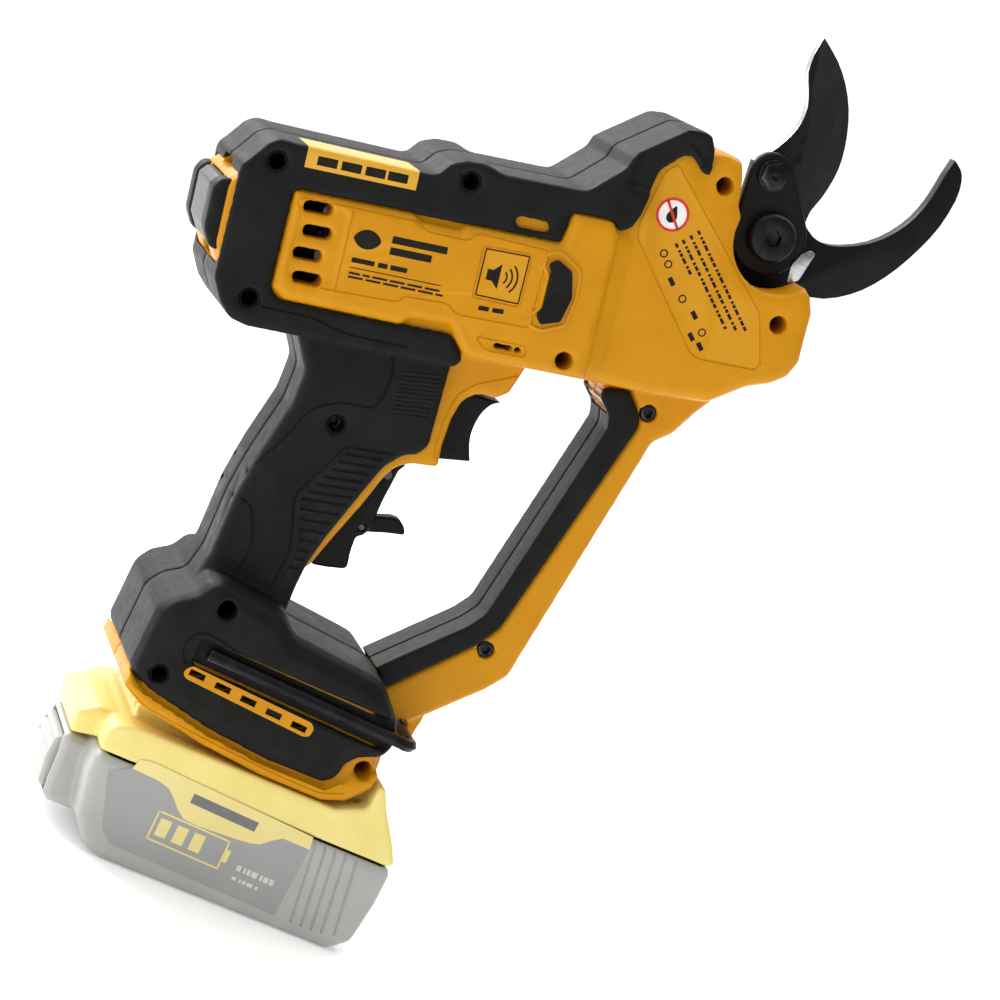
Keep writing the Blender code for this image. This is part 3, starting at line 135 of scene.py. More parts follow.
# Each finish is named for the real material and the way its surface is made.
finishes = {
    # glass-filled nylon, spark-textured mould: warm yellow, satin, a faint cloud in the colour, corners painted paler
    # as a highlight
    "nylonYellow": {"colours": ("#C78703", "#CE8D05"), "driftSize": 16, "gloss": (0.36, 0.5), "specular": 0.2,
                    "grainSize": 0.35, "grainHeight": 0.02, "edgeWearAndHighlight": "#DDA432", "edgeWearAndHighlightAmount": 0.3},
    # thermoplastic rubber, moulded over: near black, leathery grain that catches the light, corners painted paler as
    # a highlight
    "rubberBlack": {"colours": ("#131312", "#191A19"), "driftSize": 12, "gloss": (0.46, 0.6), "specular": 0.13,
                    "grainSize": 0.75, "grainHeight": 0.09, "strength": 0.7, "edgeWearAndHighlight": "#242422"},
    # nylon, polished mould: black, a little shinier than the rubber, corners painted paler as a highlight
    "nylonBlack": {"colours": ("#131313", "#191918"), "driftSize": 10, "gloss": (0.4, 0.54), "specular": 0.12,
                   "grainSize": 0.5, "grainHeight": 0.04, "edgeWearAndHighlight": "#262624"},
    # ABS, fine texture: pale cool grey
    "absGrey": {"colours": ("#ABABA9", "#B3B3B0"), "driftSize": 18, "gloss": (0.42, 0.56), "ior": 1.53,
                "grainSize": 0.5, "grainHeight": 0.03},
    # ABS, fine texture: pale yellow
    "absYellow": {"colours": ("#EFDB7C", "#F4E28A"), "driftSize": 18, "gloss": (0.36, 0.5), "ior": 1.53,
                  "grainSize": 0.5, "grainHeight": 0.02},
    # printed label film over the pack's side: flatter than the shell round it
    "filmYellow": {"colours": ("#E8D788", "#EDDD92"), "driftSize": 25, "gloss": (0.3, 0.4), "ior": 1.5,
                   "grainSize": 0.8, "grainHeight": 0.008},
    "filmGrey": {"colours": ("#9A9A99", "#A0A09F"), "driftSize": 25, "gloss": (0.3, 0.4), "ior": 1.5,
                 "grainSize": 0.8, "grainHeight": 0.008},
    "filmPale": {"colours": ("#CFCFC6", "#D8D8D0"), "driftSize": 25, "gloss": (0.3, 0.4), "ior": 1.5,
                 "grainSize": 0.8, "grainHeight": 0.008},
    # pad-printed ink
    "inkBlack": {"colours": ("#17150F", "#211D14"), "driftSize": 4, "gloss": (0.4, 0.55), "specular": 0.15,
                 "grainSize": 0.3, "grainHeight": 0.01},
    "inkGrey": {"colours": ("#6E6E6C", "#787876"), "driftSize": 4, "gloss": (0.4, 0.55), "grainSize": 0.3,
                "grainHeight": 0.01},
    "inkRed": {"colours": ("#C5221F", "#CF2A24"), "driftSize": 4, "gloss": (0.35, 0.5), "grainSize": 0.3,
               "grainHeight": 0.01},
    "inkWhite": {"colours": ("#E8E6E0", "#F0EEE8"), "driftSize": 4, "gloss": (0.35, 0.5), "grainSize": 0.3,
                 "grainHeight": 0.01},
    # carbon steel, non-stick coated: almost black with a soft sheen, a little rubbed at the corners
    "coatedSteel": {"colours": ("#101010", "#151516"), "driftSize": 9, "gloss": (0.34, 0.48), "specular": 0.16,
                    "grainSize": 0.25, "grainHeight": 0.012, "edgeWearAndHighlight": "#4A4A4A"},
    # the same coating over the hollow-ground flank, a shade paler
    "groundCoat": {"colours": ("#222223", "#282829"), "driftSize": 7, "gloss": (0.3, 0.42), "specular": 0.25,
                   "grainSize": 0.4, "grainHeight": 0.012, "stretch": (1.0, 1.0, 7.0)},
    # carbon steel, ground: bright, with scratches across the edge
    "groundSteel": {"colours": ("#B4B6B8", "#CCCED0"), "driftSize": 6, "gloss": (0.2, 0.34), "metallic": 1.0,
                    "grainSize": 0.5, "grainHeight": 0.012, "stretch": (1.0, 1.0, 9.0)},
    # alloy steel, black oxide: dark metal with an oily sheen
    "oxideSteel": {"colours": ("#222224", "#2C2C2F"), "driftSize": 5, "gloss": (0.3, 0.46), "metallic": 0.9,
                   "grainSize": 0.2, "grainHeight": 0.01, "edgeWearAndHighlight": "#6A6A6C"},
    # steel, turned and hobbed
    "turnedSteel": {"colours": ("#9EA0A2", "#B7B9BB"), "driftSize": 5, "gloss": (0.22, 0.36), "metallic": 1.0,
                    "grainSize": 0.3, "grainHeight": 0.01, "stretch": (8.0, 1.0, 1.0)},
    # zinc alloy, die cast: grainy grey skin
    "castZinc": {"colours": ("#8D8F8F", "#A4A6A5"), "driftSize": 8, "gloss": (0.42, 0.6), "metallic": 1.0,
                 "grainSize": 0.6, "grainHeight": 0.03},
    # silicon-steel laminations and enamelled winding
    "motorIron": {"colours": ("#6E6660", "#8A5B3A"), "driftSize": 6, "gloss": (0.35, 0.5), "metallic": 1.0,
                  "grainSize": 0.5, "grainHeight": 0.03, "stretch": (9.0, 1.0, 1.0)},
    # glass-epoxy board under green lacquer
    "boardGreen": {"colours": ("#0E5A2B", "#137036"), "driftSize": 4, "gloss": (0.25, 0.4), "grainSize": 0.5,
                   "grainHeight": 0.01},
    # heat-shrink PVC round the cells
    "shrinkBlue": {"colours": ("#274F8F", "#3260A6"), "driftSize": 9, "gloss": (0.25, 0.4), "grainSize": 1.2,
                   "grainHeight": 0.02},
    # vinyl label, printed yellow
    "labelYellow": {"colours": ("#D8A030", "#DEA838"), "driftSize": 12, "gloss": (0.25, 0.35), "specular": 0.3,
                    "grainSize": 0.8, "grainHeight": 0.008},
    # polycarbonate badge, back printed: dark grey with a broad soft sheen
    "badgeGrey": {"colours": ("#3E4040", "#474949"), "driftSize": 9, "gloss": (0.4, 0.5), "specular": 0.25,
                  "grainSize": 0.8, "grainHeight": 0.006},
    # matt paper sweep
    "paperPale": {"colours": ("#FAFAFA", "#FCFCFC"), "driftSize": 400, "gloss": (0.8, 0.9), "grainSize": 3,
                  "grainHeight": 0.02},
}
materials = {name: makeFinish(name, look) for name, look in finishes.items()}
nodeFinish = {
    "housing_right": "nylonYellow", "housing_left": "nylonYellow", "overmould_right": "rubberBlack",
    "overmould_left": "rubberBlack", "guard_pad_right": "rubberBlack", "guard_pad_left": "rubberBlack",
    "side_bumper_right": "rubberBlack", "side_bumper_left": "rubberBlack", "rear_badge": "badgeGrey",
    "stator": "motorIron", "rotor_core": "motorIron", "gear_case": "castZinc", "cooling_fan": "nylonBlack",
    "cutting_blade": "coatedSteel", "hook_blade": "coatedSteel", "link_plate": "coatedSteel",
    "pivot_bolt": "oxideSteel", "pivot_nut": "oxideSteel", "hex_key": "oxideSteel", "blade_stud": "oxideSteel",
    "trigger": "nylonBlack", "safety_lever": "nylonBlack", "lever_latch": "nylonBlack",
    "switch_block": "nylonBlack", "terminal_block": "nylonBlack", "control_board": "boardGreen",
    "battery_case": "absGrey", "battery_top": "absYellow", "battery_button": "absGrey", "cell_pack": "shrinkBlue",
}
darkNodes = ("screw", "lever_pin", "latch_pin")
for nodeName, node in frame["nodes"].items():
    isDark = any(word in nodeName for word in darkNodes)
    finishName = nodeFinish.get(nodeName, "oxideSteel" if isDark else "turnedSteel")
    node.data.materials.clear()
    node.data.materials.append(materials[finishName])
print("stage: finishes made", len(materials))


# modelling helpers
def selectOnly(piece):
    if bpy.context.object and bpy.context.object.mode != "OBJECT":
        bpy.ops.object.mode_set(mode="OBJECT")
    bpy.ops.object.select_all(action="DESELECT")
    piece.select_set(True)
    bpy.context.view_layer.objects.active = piece


def applyModifier(piece, kind, **settings):
    selectOnly(piece)
    step = piece.modifiers.new("step", kind)
    for key, value in settings.items():
        setattr(step, key, value)
    bpy.ops.object.modifier_apply(modifier=step.name)
    return piece


def giveFinish(piece, finishName):
    piece.data.materials.clear()
    piece.data.materials.append(materials[finishName])
    return piece


def shadeSmooth(piece, smoothAngle=35):
    selectOnly(piece)
    bpy.ops.object.shade_smooth_by_angle(angle=math.radians(smoothAngle))
    return piece


def copyNode(nodeName, pieceName):
    mesh = frame["nodes"][nodeName].data.copy()
    piece = bpy.data.objects.new(pieceName, mesh)
    bpy.context.scene.collection.objects.link(piece)
    selectOnly(piece)
    bpy.ops.object.mode_set(mode="EDIT")
    bpy.ops.mesh.select_all(action="SELECT")
    bpy.ops.mesh.remove_doubles(threshold=0.000002)
    bpy.ops.object.mode_set(mode="OBJECT")
    return piece


def slab(points, yLow, yHigh, name="slab"):
    # an outline in x and z, stretched along y
    bpy.ops.object.select_all(action="DESELECT")
    bpy.ops.mesh.primitive_circle_add(vertices=len(points), radius=0.01, fill_type="NGON")
    piece = bpy.context.object
    piece.name = name
    for vertex, (x, z) in zip(piece.data.vertices, points):
        vertex.co = (x, yLow, z)
    bpy.ops.object.mode_set(mode="EDIT")
    bpy.ops.mesh.select_all(action="SELECT")
    bpy.ops.mesh.extrude_region_move(TRANSFORM_OT_translate={"value": (0, yHigh - yLow, 0)})
    bpy.ops.mesh.select_all(action="SELECT")
    bpy.ops.mesh.normals_make_consistent(inside=False)
    bpy.ops.object.mode_set(mode="OBJECT")
    return piece


def roundPost(centre, radius, yLow, yHigh, sides=32, name="post"):
    bpy.ops.object.select_all(action="DESELECT")
    bpy.ops.mesh.primitive_cylinder_add(vertices=sides, radius=radius, depth=abs(yHigh - yLow),
                                        location=(centre[0], (yLow + yHigh) / 2, centre[1]),
                                        rotation=(math.pi / 2, 0, 0))
    piece = bpy.context.object
    piece.name = name
    bpy.ops.object.transform_apply(location=True, rotation=True, scale=True)
    return piece


def wire(points, radius, closed=False, resolution=2, name="wire"):
    # a round bar through points in space, as a closed mesh
    curve = bpy.data.curves.new(name, "CURVE")
    curve.dimensions = "3D"
    curve.bevel_depth = radius
    curve.bevel_resolution = resolution
    curve.use_fill_caps = True
    spline = curve.splines.new("POLY")
    spline.points.add(len(points) - 1)
    for point, place in zip(spline.points, points):
        point.co = (*place, 1)
    spline.use_cyclic_u = closed
    piece = bpy.data.objects.new(name, curve)
    bpy.context.scene.collection.objects.link(piece)
    selectOnly(piece)
    bpy.ops.object.convert(target="MESH")
    piece = bpy.context.object
    bpy.ops.object.mode_set(mode="EDIT")
    bpy.ops.mesh.select_all(action="SELECT")
    bpy.ops.mesh.remove_doubles(threshold=0.000001)
    bpy.ops.mesh.normals_make_consistent(inside=False)
    bpy.ops.object.mode_set(mode="OBJECT")
    return piece


def combine(piece, tools, operation="DIFFERENCE"):
    for tool in tools:
        selectOnly(piece)
        step = piece.modifiers.new("step", "BOOLEAN")
        step.operation = operation
        step.solver = "MANIFOLD"
        step.material_mode = "TRANSFER"
        step.object = tool
        bpy.ops.object.modifier_apply(modifier=step.name)
        bpy.data.objects.remove(tool)
    return piece


def joinPieces(name, parts):
    bpy.ops.object.select_all(action="DESELECT")
    for part in parts:
        part.select_set(True)
    bpy.context.view_layer.objects.active = parts[0]
    bpy.ops.object.join()
    parts[0].name = name
    return parts[0]


def soften(piece, voxel, rounds, flatAngle=1.5):
    # the small radius that a mould leaves on every edge
    applyModifier(piece, "REMESH", mode="VOXEL", voxel_size=voxel, adaptivity=0.0)
    applyModifier(piece, "SMOOTH", factor=0.5, iterations=rounds)
    applyModifier(piece, "DECIMATE", decimate_type="DISSOLVE", angle_limit=math.radians(flatAngle))
    return piece


def closePoints(path, closed, step=0.0018):
    # more points along a path, at most a step apart
    result = []
    ends = path + path[:1] if closed else path
    for (x1, z1), (x2, z2) in zip(ends, ends[1:]):
        count = max(1, math.ceil(math.hypot(x2 - x1, z2 - z1) / step))
        result += [(x1 + (x2 - x1) * k / count, z1 + (z2 - z1) * k / count) for k in range(count)]
    if not closed:
        result.append(path[-1])
    return result


def roundedPath(path, radius, closed=True, steps=4):
    result = []
    count = len(path)
    for k in range(count):
        here = Vector(path[k])
        if not closed and k in (0, count - 1):
            result.append(tuple(here))
            continue
        back = Vector(path[k - 1]) - here
        ahead = Vector(path[(k + 1) % count]) - here
        reach = min(radius, 0.45 * back.length, 0.45 * ahead.length)
        start, end = here + back.normalized() * reach, here + ahead.normalized() * reach
        for j in range(steps + 1):
            t = j / steps
            result.append(tuple(start * (1 - t) ** 2 + here * 2 * t * (1 - t) + end * t * t))
    return result


def onSurface(piece, path, side, closed=False, step=0.0018):
    # lifts an x, z path onto the side face of a piece
    places = []
    for x, z in closePoints(path, closed, step):
        hit, place, normal, face = piece.ray_cast(Vector((x, side * 0.06, z)), Vector((0, -side, 0)))
        isFace = hit and place.y * side > 0 and normal.y * side > 0.25
        if isFace and (not places or abs(place.y - places[-1].y) < 1.6 * mm):
            places.append(place)
        elif len(places) > 2:
            break
        elif isFace:
            places = [place]
    return places


def grooves(piece, lines, side, radius, raised=False):
    # one cut for a set of lines that don't cross; each line is a path and whether it closes
    wires = []
    for path, closed in lines:
        places = onSurface(piece, path, side, closed)
        if len(places) > 2:
            wires.append(giveFinish(wire(places, radius, closed), piece.data.materials[0].name))
    if wires:
        combine(piece, [joinPieces("wires", wires)], "UNION" if raised else "DIFFERENCE")
    return piece


def groove(piece, path, side, radius, closed=False, raised=False):
    return grooves(piece, [(path, closed)], side, radius, raised)


def standsFor(piece, bodyName, finishName, *nodeNames, smoothAngle=35):
    if finishName:
        giveFinish(piece, finishName)
    shadeSmooth(piece, smoothAngle)
    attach(piece, bodyName)
    if nodeNames:
        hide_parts(*nodeNames)
    return piece


def softCopy(nodeName, pieceName, bodyName, finishName, voxel, rounds, flatAngle=1.5):
    # a CAD node again, with moulded edges
    piece = copyNode(nodeName, pieceName)
    giveFinish(piece, finishName)
    soften(piece, voxel, rounds, flatAngle)
    return standsFor(piece, bodyName, None, nodeName, smoothAngle=50)


def bevelCopy(nodeName, pieceName, bodyName, finishName, width, segments=2):
    # a CAD node again, with its sharp edges broken
    piece = copyNode(nodeName, pieceName)
    giveFinish(piece, finishName)
    applyModifier(piece, "BEVEL", width=width, segments=segments, limit_method="ANGLE",
                  angle_limit=math.radians(40), use_clamp_overlap=True)
    return piece


def film(name, shapes, side, face, thickness, finishName, bodyName):
    # thin flat shapes in one finish, lying on a face at y = face
    parts = [slab(shape, side * (face - 0.1 * mm), side * (face + thickness)) for shape in shapes]
    piece = joinPieces(name, parts) if len(parts) > 1 else parts[0]
    piece.name = name
    return standsFor(piece, bodyName, finishName)


def barShape(start, end, width):
    # a bar between two places, both and the width in metres
    start, end = Vector(start), Vector(end)
    along = (end - start).normalized()
    across = Vector((-along.y, along.x)) * (width / 2)
    return [tuple(start + across), tuple(end + across), tuple(end - across), tuple(start - across)]


def ringShape(centre, radius, steps=32, start=0.0, sweep=2 * math.pi):
    return [(centre[0] + radius * math.cos(start + sweep * k / steps),
             centre[1] + radius * math.sin(start + sweep * k / steps)) for k in range(steps)]


def ringPiece(name, centre, outer, inner, yLow, yHigh, finishName, bodyName):
    ring = giveFinish(roundPost(centre, outer, yLow, yHigh, 40), finishName)
    hole = giveFinish(roundPost(centre, inner, yLow - mm, yHigh + mm, 40), finishName)
    combine(ring, [hole])
    ring.name = name
    return standsFor(ring, bodyName, None)


# floor, light and camera
studio = {"floorSize": 9.0, "floorGlow": 0.18, "floorDrop": 0.0002,
          "skyAim": (-0.35, 0.75, 0.56), "skyFrom": 0.22, "skyTo": 1.25, "skyDark": -0.6, "skyBright": 0.7,
          # each lamp: place, side and power
          "lamps": {"backLight": ((-0.95, 1.15, 1.15), 1.0, 34), "topLight": ((0.25, 0.35, 1.5), 1.0, 10),
                    "frontFill": ((-0.9, -1.3, 0.9), 0.9, 3)},
          "lampAim": (0.02, 0, 0.17), "lens": 127.44, "sensorWidth": 36,
          "cameraPlace": (-0.3019, -1.1423, 0.2957), "cameraRight": (0.8746, -0.2079, 0.4380),
          "cameraUp": (-0.3931, 0.2250, 0.8916), "cameraBack": (-0.2839, -0.9519, 0.1150)}


def makeStudio():
    paper = materials["paperPale"].node_tree.nodes["Principled BSDF"]
    paper.inputs["Emission Color"].default_value = (1.0, 1.0, 1.0, 1)
    paper.inputs["Emission Strength"].default_value = studio["floorGlow"]
    bpy.ops.object.select_all(action="DESELECT")
    bpy.ops.mesh.primitive_plane_add(size=studio["floorSize"] * 2, location=(0, 0, -studio["floorDrop"]))
    floor = bpy.context.object
    floor.name = "floor"
    bpy.ops.object.transform_apply(location=True, rotation=True, scale=True)
    floor.data.materials.append(materials["paperPale"])
    world = bpy.data.worlds.new("softbox") if not bpy.context.scene.world else bpy.context.scene.world
    bpy.context.scene.world = world
    world.use_nodes = True
    background = world.node_tree.nodes["Background"]
    background.inputs["Color"].default_value = (1.0, 1.0, 1.0, 1)
    # bright behind and above the object, dim on the camera's side
    heading = addNode(world.node_tree, "ShaderNodeTexCoord").outputs["Generated"]
    towards = addNode(world.node_tree, "ShaderNodeVectorMath", {"operation": "DOT_PRODUCT"},
                      {0: heading, 1: studio["skyAim"]}).outputs["Value"]
    sky = addNode(world.node_tree, "ShaderNodeMapRange", {"interpolation_type": "SMOOTHSTEP"},
                  {"Value": towards, "From Min": studio["skyDark"], "From Max": studio["skyBright"],
                   "To Min": studio["skyFrom"], "To Max": studio["skyTo"]})
    world.node_tree.links.new(sky.outputs["Result"], background.inputs["Strength"])
    for name, (place, size, power) in studio["lamps"].items():
        light = bpy.data.lights.new(name, "AREA")
        light.shape = "SQUARE"
        light.size = size
        light.energy = power
        lamp = bpy.data.objects.new(name, light)
        lamp.location = place
        lamp.rotation_euler = (Vector(studio["lampAim"]) - Vector(place)).to_track_quat("-Z", "Y").to_euler()
        bpy.context.scene.collection.objects.link(lamp)
    camera = bpy.data.objects.new("camera", bpy.data.cameras.new("camera"))
    bpy.context.scene.collection.objects.link(camera)
    camera.data.lens = studio["lens"]
    camera.data.sensor_width = studio["sensorWidth"]
    turn = Matrix((studio["cameraRight"], studio["cameraUp"], studio["cameraBack"])).transposed().to_4x4()
    camera.matrix_world = Matrix.Translation(studio["cameraPlace"]) @ turn
    bpy.context.scene.camera = camera
    bpy.context.scene.view_settings.view_transform = "Standard"


makeStudio()
print("stage: studio set")

# housing halves
housing = {
    "voxel": 0.0008, "rounds": 3, "lineRadius": 0.00038, "bezelRadius": 0.0007,
    "panelFace": 0.031, "pocketDepth": 0.0008, "pocketRound": 0.003, "lineRound": 0.0016, "headFace": 0.025,
    "panelLine": barrelPath((-163.6, -17.6), (-161.0, -16.8), (-124.0, -16.9), (-120.1, -19.4), (-106.5, -19.5),
                            (-103.9, -16.6), (-79.4, -17.3), (-80.0, -43.4), (-104.6, -43.8), (-108.3, -40.9),
                            (-123.0, -41.5), (-124.7, -43.7), (-161.8, -44.7), (-164.0, -42.3)),
    "panelRule": barrelPath((-145.4, -17.6), (-145.6, -43.8)),
    "ventPocket": barrelPath((-163.2, -18.2), (-146.2, -17.6), (-146.2, -43.4), (-163.2, -43.4)),
    "bumperBezel": barrelPath((-79.4, -18.0), (-74.9, -17.2), (-67.4, -22.0), (-66.9, -31.0), (-68.2, -40.2),
                              (-75.8, -43.6), (-80.6, -42.6), (-80.0, -38.6), (-77.9, -36.5), (-77.9, -24.8),
                              (-80.2, -22.6)),
    "headLine": sidePath((35.4, 286.2), (32.4, 282.0), (32.2, 263.0), (34.2, 258.4), (67.8, 231.9), (71.5, 231.1),
                         (90.7, 235.7), (92.0, 238.0), (83.7, 253.5)),
    "lowSlotLine": barrelPath((-97.0, -49.6), (-79.4, -49.6), (-79.0, -53.2), (-92.5, -53.4)),
    "footLine": sidePath((-58.0, 56.4), (-48.6, 52.4), (-25.7, 50.4), (-0.2, 48.6), (16.6, 48.4), (24.0, 51.4)),
    "soundBox": barrelPath((-100.9, -20.0), (-84.4, -19.7), (-84.6, -37.4), (-101.0, -37.2)),
    "gripLine": sidePath((21.0, 200.0), (9.0, 191.6), (4.9, 186.0), (4.4, 176.0), (6.0, 167.0), (7.6, 163.2)),
}
for side, sideName in ((-1, "right"), (1, "left")):
    shell = giveFinish(copyNode("housing_" + sideName, "housing_shell_" + sideName), "nylonYellow")
    pocketFace = side * housing["panelFace"]
    pocket = slab(roundedPath(housing["ventPocket"], housing["pocketRound"]),
                  pocketFace - side * housing["pocketDepth"], pocketFace + side * 2 * mm)
    combine(shell, [giveFinish(pocket, "nylonYellow")])
    soften(shell, housing["voxel"], housing["rounds"])
    grooves(shell, [(roundedPath(housing[lineName], housing["lineRound"]), True) for lineName in
                    ("panelLine", "headLine", "lowSlotLine", "soundBox")]
            + [(roundedPath(housing["footLine"], 0.003, False), False), (housing["gripLine"], False)],
            side, housing["lineRadius"])
    groove(shell, housing["panelRule"], side, housing["lineRadius"])
    groove(shell, roundedPath(housing["bumperBezel"], housing["lineRound"]), side, housing["bezelRadius"], True, True)
    standsFor(shell, "housing", None, "housing_" + sideName)
print("stage: housing halves made")

# soft grip over the barrel, grip and foot
wrap = {
    "voxel": 0.0009, "rounds": 6, "lineRadius": 0.00045,
    "gripContour": sidePath((-47.1, 137.6), (-42.6, 149.5), (-38.8, 161.5), (-33.2, 166.4), (-27.9, 168.8),
                            (-19.9, 170.4), (-18.5, 175.0), (-18.9, 184.0), (-21.5, 188.6), (-26.7, 193.6)),
    "leafLeft": [(-6.4, 159.4), (-22.9, 155.1), (-27.0, 143.7), (-31.0, 133.1), (-27.2, 124.4), (-24.4, 116.8),
                 (-24.4, 110.3), (-24.5, 101.4)],
    "leafRight": [(-7.0, 158.5), (-10.2, 149.8), (-11.5, 143.3), (-12.0, 137.0), (-13.9, 130.9), (-15.7, 124.5),
                  (-17.5, 118.4), (-17.3, 108.0)],
    "leafRibs": 14, "ribStep": 3.25, "ribTop": 153.0, "ribRadius": 0.0005,
    "lowContour": sidePath((-52.9, 126.8), (-42.4, 124.7), (-37.6, 115.6), (-36.4, 107.2), (-38.1, 100.9),
                           (-45.0, 99.0)),
    "backNotches": [(-49.9, 134.2), (-49.6, 125.0), (-46.6, 98.6)], "notchRadius": 0.0011,
    "underLine": barrelPath((-171.0, -54.2), (-150.0, -54.4), (-140.0, -57.4), (-118.0, -57.8)),
    "keyEdge": sidePath((11.6, 70.8), (13.6, 76.4), (11.3, 80.1), (-24.7, 80.9), (-41.3, 83.5), (-45.1, 81.8),
                        (-46.9, 77.8), (-46.1, 74.4), (-43.6, 71.2)),
    "headCap": barrelPath((-38.5, 30.4), (-45.3, 29.2), (-54.6, 23.6), (-60.2, 18.0), (-60.6, 12.9), (-64.0, 8.8),
                          (-72.5, 2.6)),
    "headTooth": barrelPath((-40.0, 26.4), (-33.4, 21.0), (-35.1, 18.9), (-46.3, 20.4)),
    "scoop": barrelPath((-113.0, 1.5), (-105.4, -6.2), (-108.2, -8.0), (-115.5, -2.2)),
    "textureFrom": [(-16.1, 185.7), (-13.6, 171.6)], "textureTo": [(-3.2, 189.9), (-2.0, 175.2)],
    "textureLines": 11, "textureRadius": 0.00022,
    "labelSigns": [-157.0, -149.0, -141.0, -133.5],
    "labelSign": [(-3.2, -3.2), (3.2, -3.2), (3.2, -5.9), (-3.2, -5.9)],
    "labelFrom": 0.008, "labelTo": 0.0298, "labelLift": 0.00012, "signLift": 0.0002, "lineRound": 0.003,
    "labelWindow": barrelPath((-164.0, 4.0), (-127.0, 4.0), (-127.0, -7.4), (-164.0, -7.4)),
}


def acrossAt(edge, height):
    # where an edge, listed from the top down, is at a height
    for (x1, z1), (x2, z2) in zip(edge, edge[1:]):
        if z2 <= height <= z1:
            return x1 + (x2 - x1) * (z1 - height) / (z1 - z2)
    return edge[-1][0] if height < edge[-1][1] else edge[0][0]


leafRibs = []
for k in range(wrap["leafRibs"]):
    height = wrap["ribTop"] - wrap["ribStep"] * k
    left = acrossAt(wrap["leafLeft"], height) + 2.4
    right = acrossAt(wrap["leafRight"], height + 2.5) - 1.0
    leafRibs.append((sidePath((left, height), (right, height + 0.26 * (right - left))), False))
textureLines = []
for k in range(wrap["textureLines"]):
    share = k / (wrap["textureLines"] - 1)
    ends = [(top[0] + (low[0] - top[0]) * share, top[1] + (low[1] - top[1]) * share)
            for top, low in (wrap["textureFrom"], wrap["textureTo"])]
    textureLines.append((sidePath(*ends), False))


def skinPatch(skin, name, outline, side, yNear, yFar, push, finishName):
    # a thin label that follows the skin under an outline
    patch = bpy.data.objects.new(name, skin.data.copy())
    bpy.context.scene.collection.objects.link(patch)
    tool = slab(outline, side * yNear, side * yFar)
    tool.data.materials.append(skin.data.materials[0])
    combine(patch, [tool], "INTERSECT")
    applyModifier(patch, "DISPLACE", strength=push, mid_level=0.0)
    return standsFor(patch, "housing", finishName, smoothAngle=50)


for side, sideName in ((-1, "right"), (1, "left")):
    skin = giveFinish(copyNode("overmould_" + sideName, "grip_skin_" + sideName), "rubberBlack")
    soften(skin, wrap["voxel"], wrap["rounds"])
    if side < 0:
        skinPatch(skin, "warning_label", wrap["labelWindow"], side, wrap["labelFrom"], wrap["labelTo"],
                  wrap["labelLift"], "labelYellow")
        for k, place in enumerate(wrap["labelSigns"]):
            sign = [barrelPoint(place + x, v) for x, v in wrap["labelSign"]]
            skinPatch(skin, "label_sign_%d" % (k + 1), sign, side, wrap["labelFrom"], wrap["labelTo"],
                      wrap["signLift"], "inkBlack")
    grooves(skin, [(roundedPath(wrap[lineName], wrap["lineRound"], False), False) for lineName in
                   ("gripContour", "lowContour", "underLine", "keyEdge", "headCap", "headTooth")]
            + [(roundedPath(wrap["scoop"], 0.004), True),
               (roundedPath(sidePath(*wrap["leafLeft"]), wrap["lineRound"], False), False)], side, wrap["lineRadius"])
    grooves(skin, leafRibs, side, wrap["ribRadius"])
    grooves(skin, textureLines, side, wrap["textureRadius"])
    notches = [wire([(x * mm, side * -0.001, z * mm), (x * mm, side * 0.012, z * mm),
                     ((x + 5) * mm, side * 0.0185, (z - 1) * mm)], wrap["notchRadius"])
               for x, z in wrap["backNotches"]]
    combine(skin, [giveFinish(joinPieces("notches", notches), "rubberBlack")])
    standsFor(skin, "housing", None, "overmould_" + sideName, smoothAngle=50)
    softCopy("guard_pad_" + sideName, "guard_liner_" + sideName, "housing", "rubberBlack", 0.0007, 4)
    softCopy("side_bumper_" + sideName, "side_pad_" + sideName, "housing", "rubberBlack", 0.0003, 3)
print("stage: soft grip made")

# screws, painted shade in their bores, and badge
# socket radius and depth, the radii of a black tube that paints shade in the bore, and for some screws how deep that
# tube starts, in millimetres
fasteners = {"socketRadius": 1.45, "socketDepth": 1.3, "boreShadeOuter": 3.05, "boreShadeInner": 2.85,
             "boreShadeDepths": {1: 29.0, 2: 29.0, 3: 29.0, 7: 18.8, 8: 18.8, 9: 37.6}}
for k in range(1, 13):
    nodeName = "housing_screw_%02d" % k
    low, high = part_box(nodeName)
    centre = ((low[0] + high[0]) / 2, (low[2] + high[2]) / 2)
    screw = giveFinish(bevelCopy(nodeName, "case_screw_%02d" % k, "housing", "oxideSteel", 0.0003), "oxideSteel")
    socket = roundPost(centre, fasteners["socketRadius"] * mm, low[1] - mm, low[1] + fasteners["socketDepth"] * mm, 6)
    combine(screw, [giveFinish(socket, "oxideSteel")])
    standsFor(screw, "housing", None, nodeName)
    if k in fasteners["boreShadeDepths"]:
        # a thin black tube lining the screw's bore: painted shade in the hole
        ringPiece("screw_bore_shade_%02d" % k, centre, fasteners["boreShadeOuter"] * mm, fasteners["boreShadeInner"] * mm,
                  -fasteners["boreShadeDepths"][k] * mm, low[1] - 0.2 * mm, "rubberBlack", "housing")
softCopy("rear_badge", "badge_plate", "housing", "badgeGrey", 0.0005, 3)
rearFrame = {"outer": barrelPath((-183.6, -16.4), (-188.4, -16.9), (-190.6, -20.2), (-190.6, -33.8), (-187.6, -39.6),
                                 (-183.6, -40.0)), "outerHalf": 25.0, "innerHalf": 15.6, "edge": 0.0014}
for side, sideName in ((-1, "right"), (1, "left")):
    cheek = slab(rearFrame["outer"], side * rearFrame["innerHalf"] * mm, side * rearFrame["outerHalf"] * mm)
    giveFinish(cheek, "rubberBlack")
    applyModifier(cheek, "BEVEL", width=rearFrame["edge"], segments=3, limit_method="ANGLE",
                  angle_limit=math.radians(25))
    cheek.name = "badge_cheek_" + sideName
    standsFor(cheek, "housing", None)
print("stage: screws made")

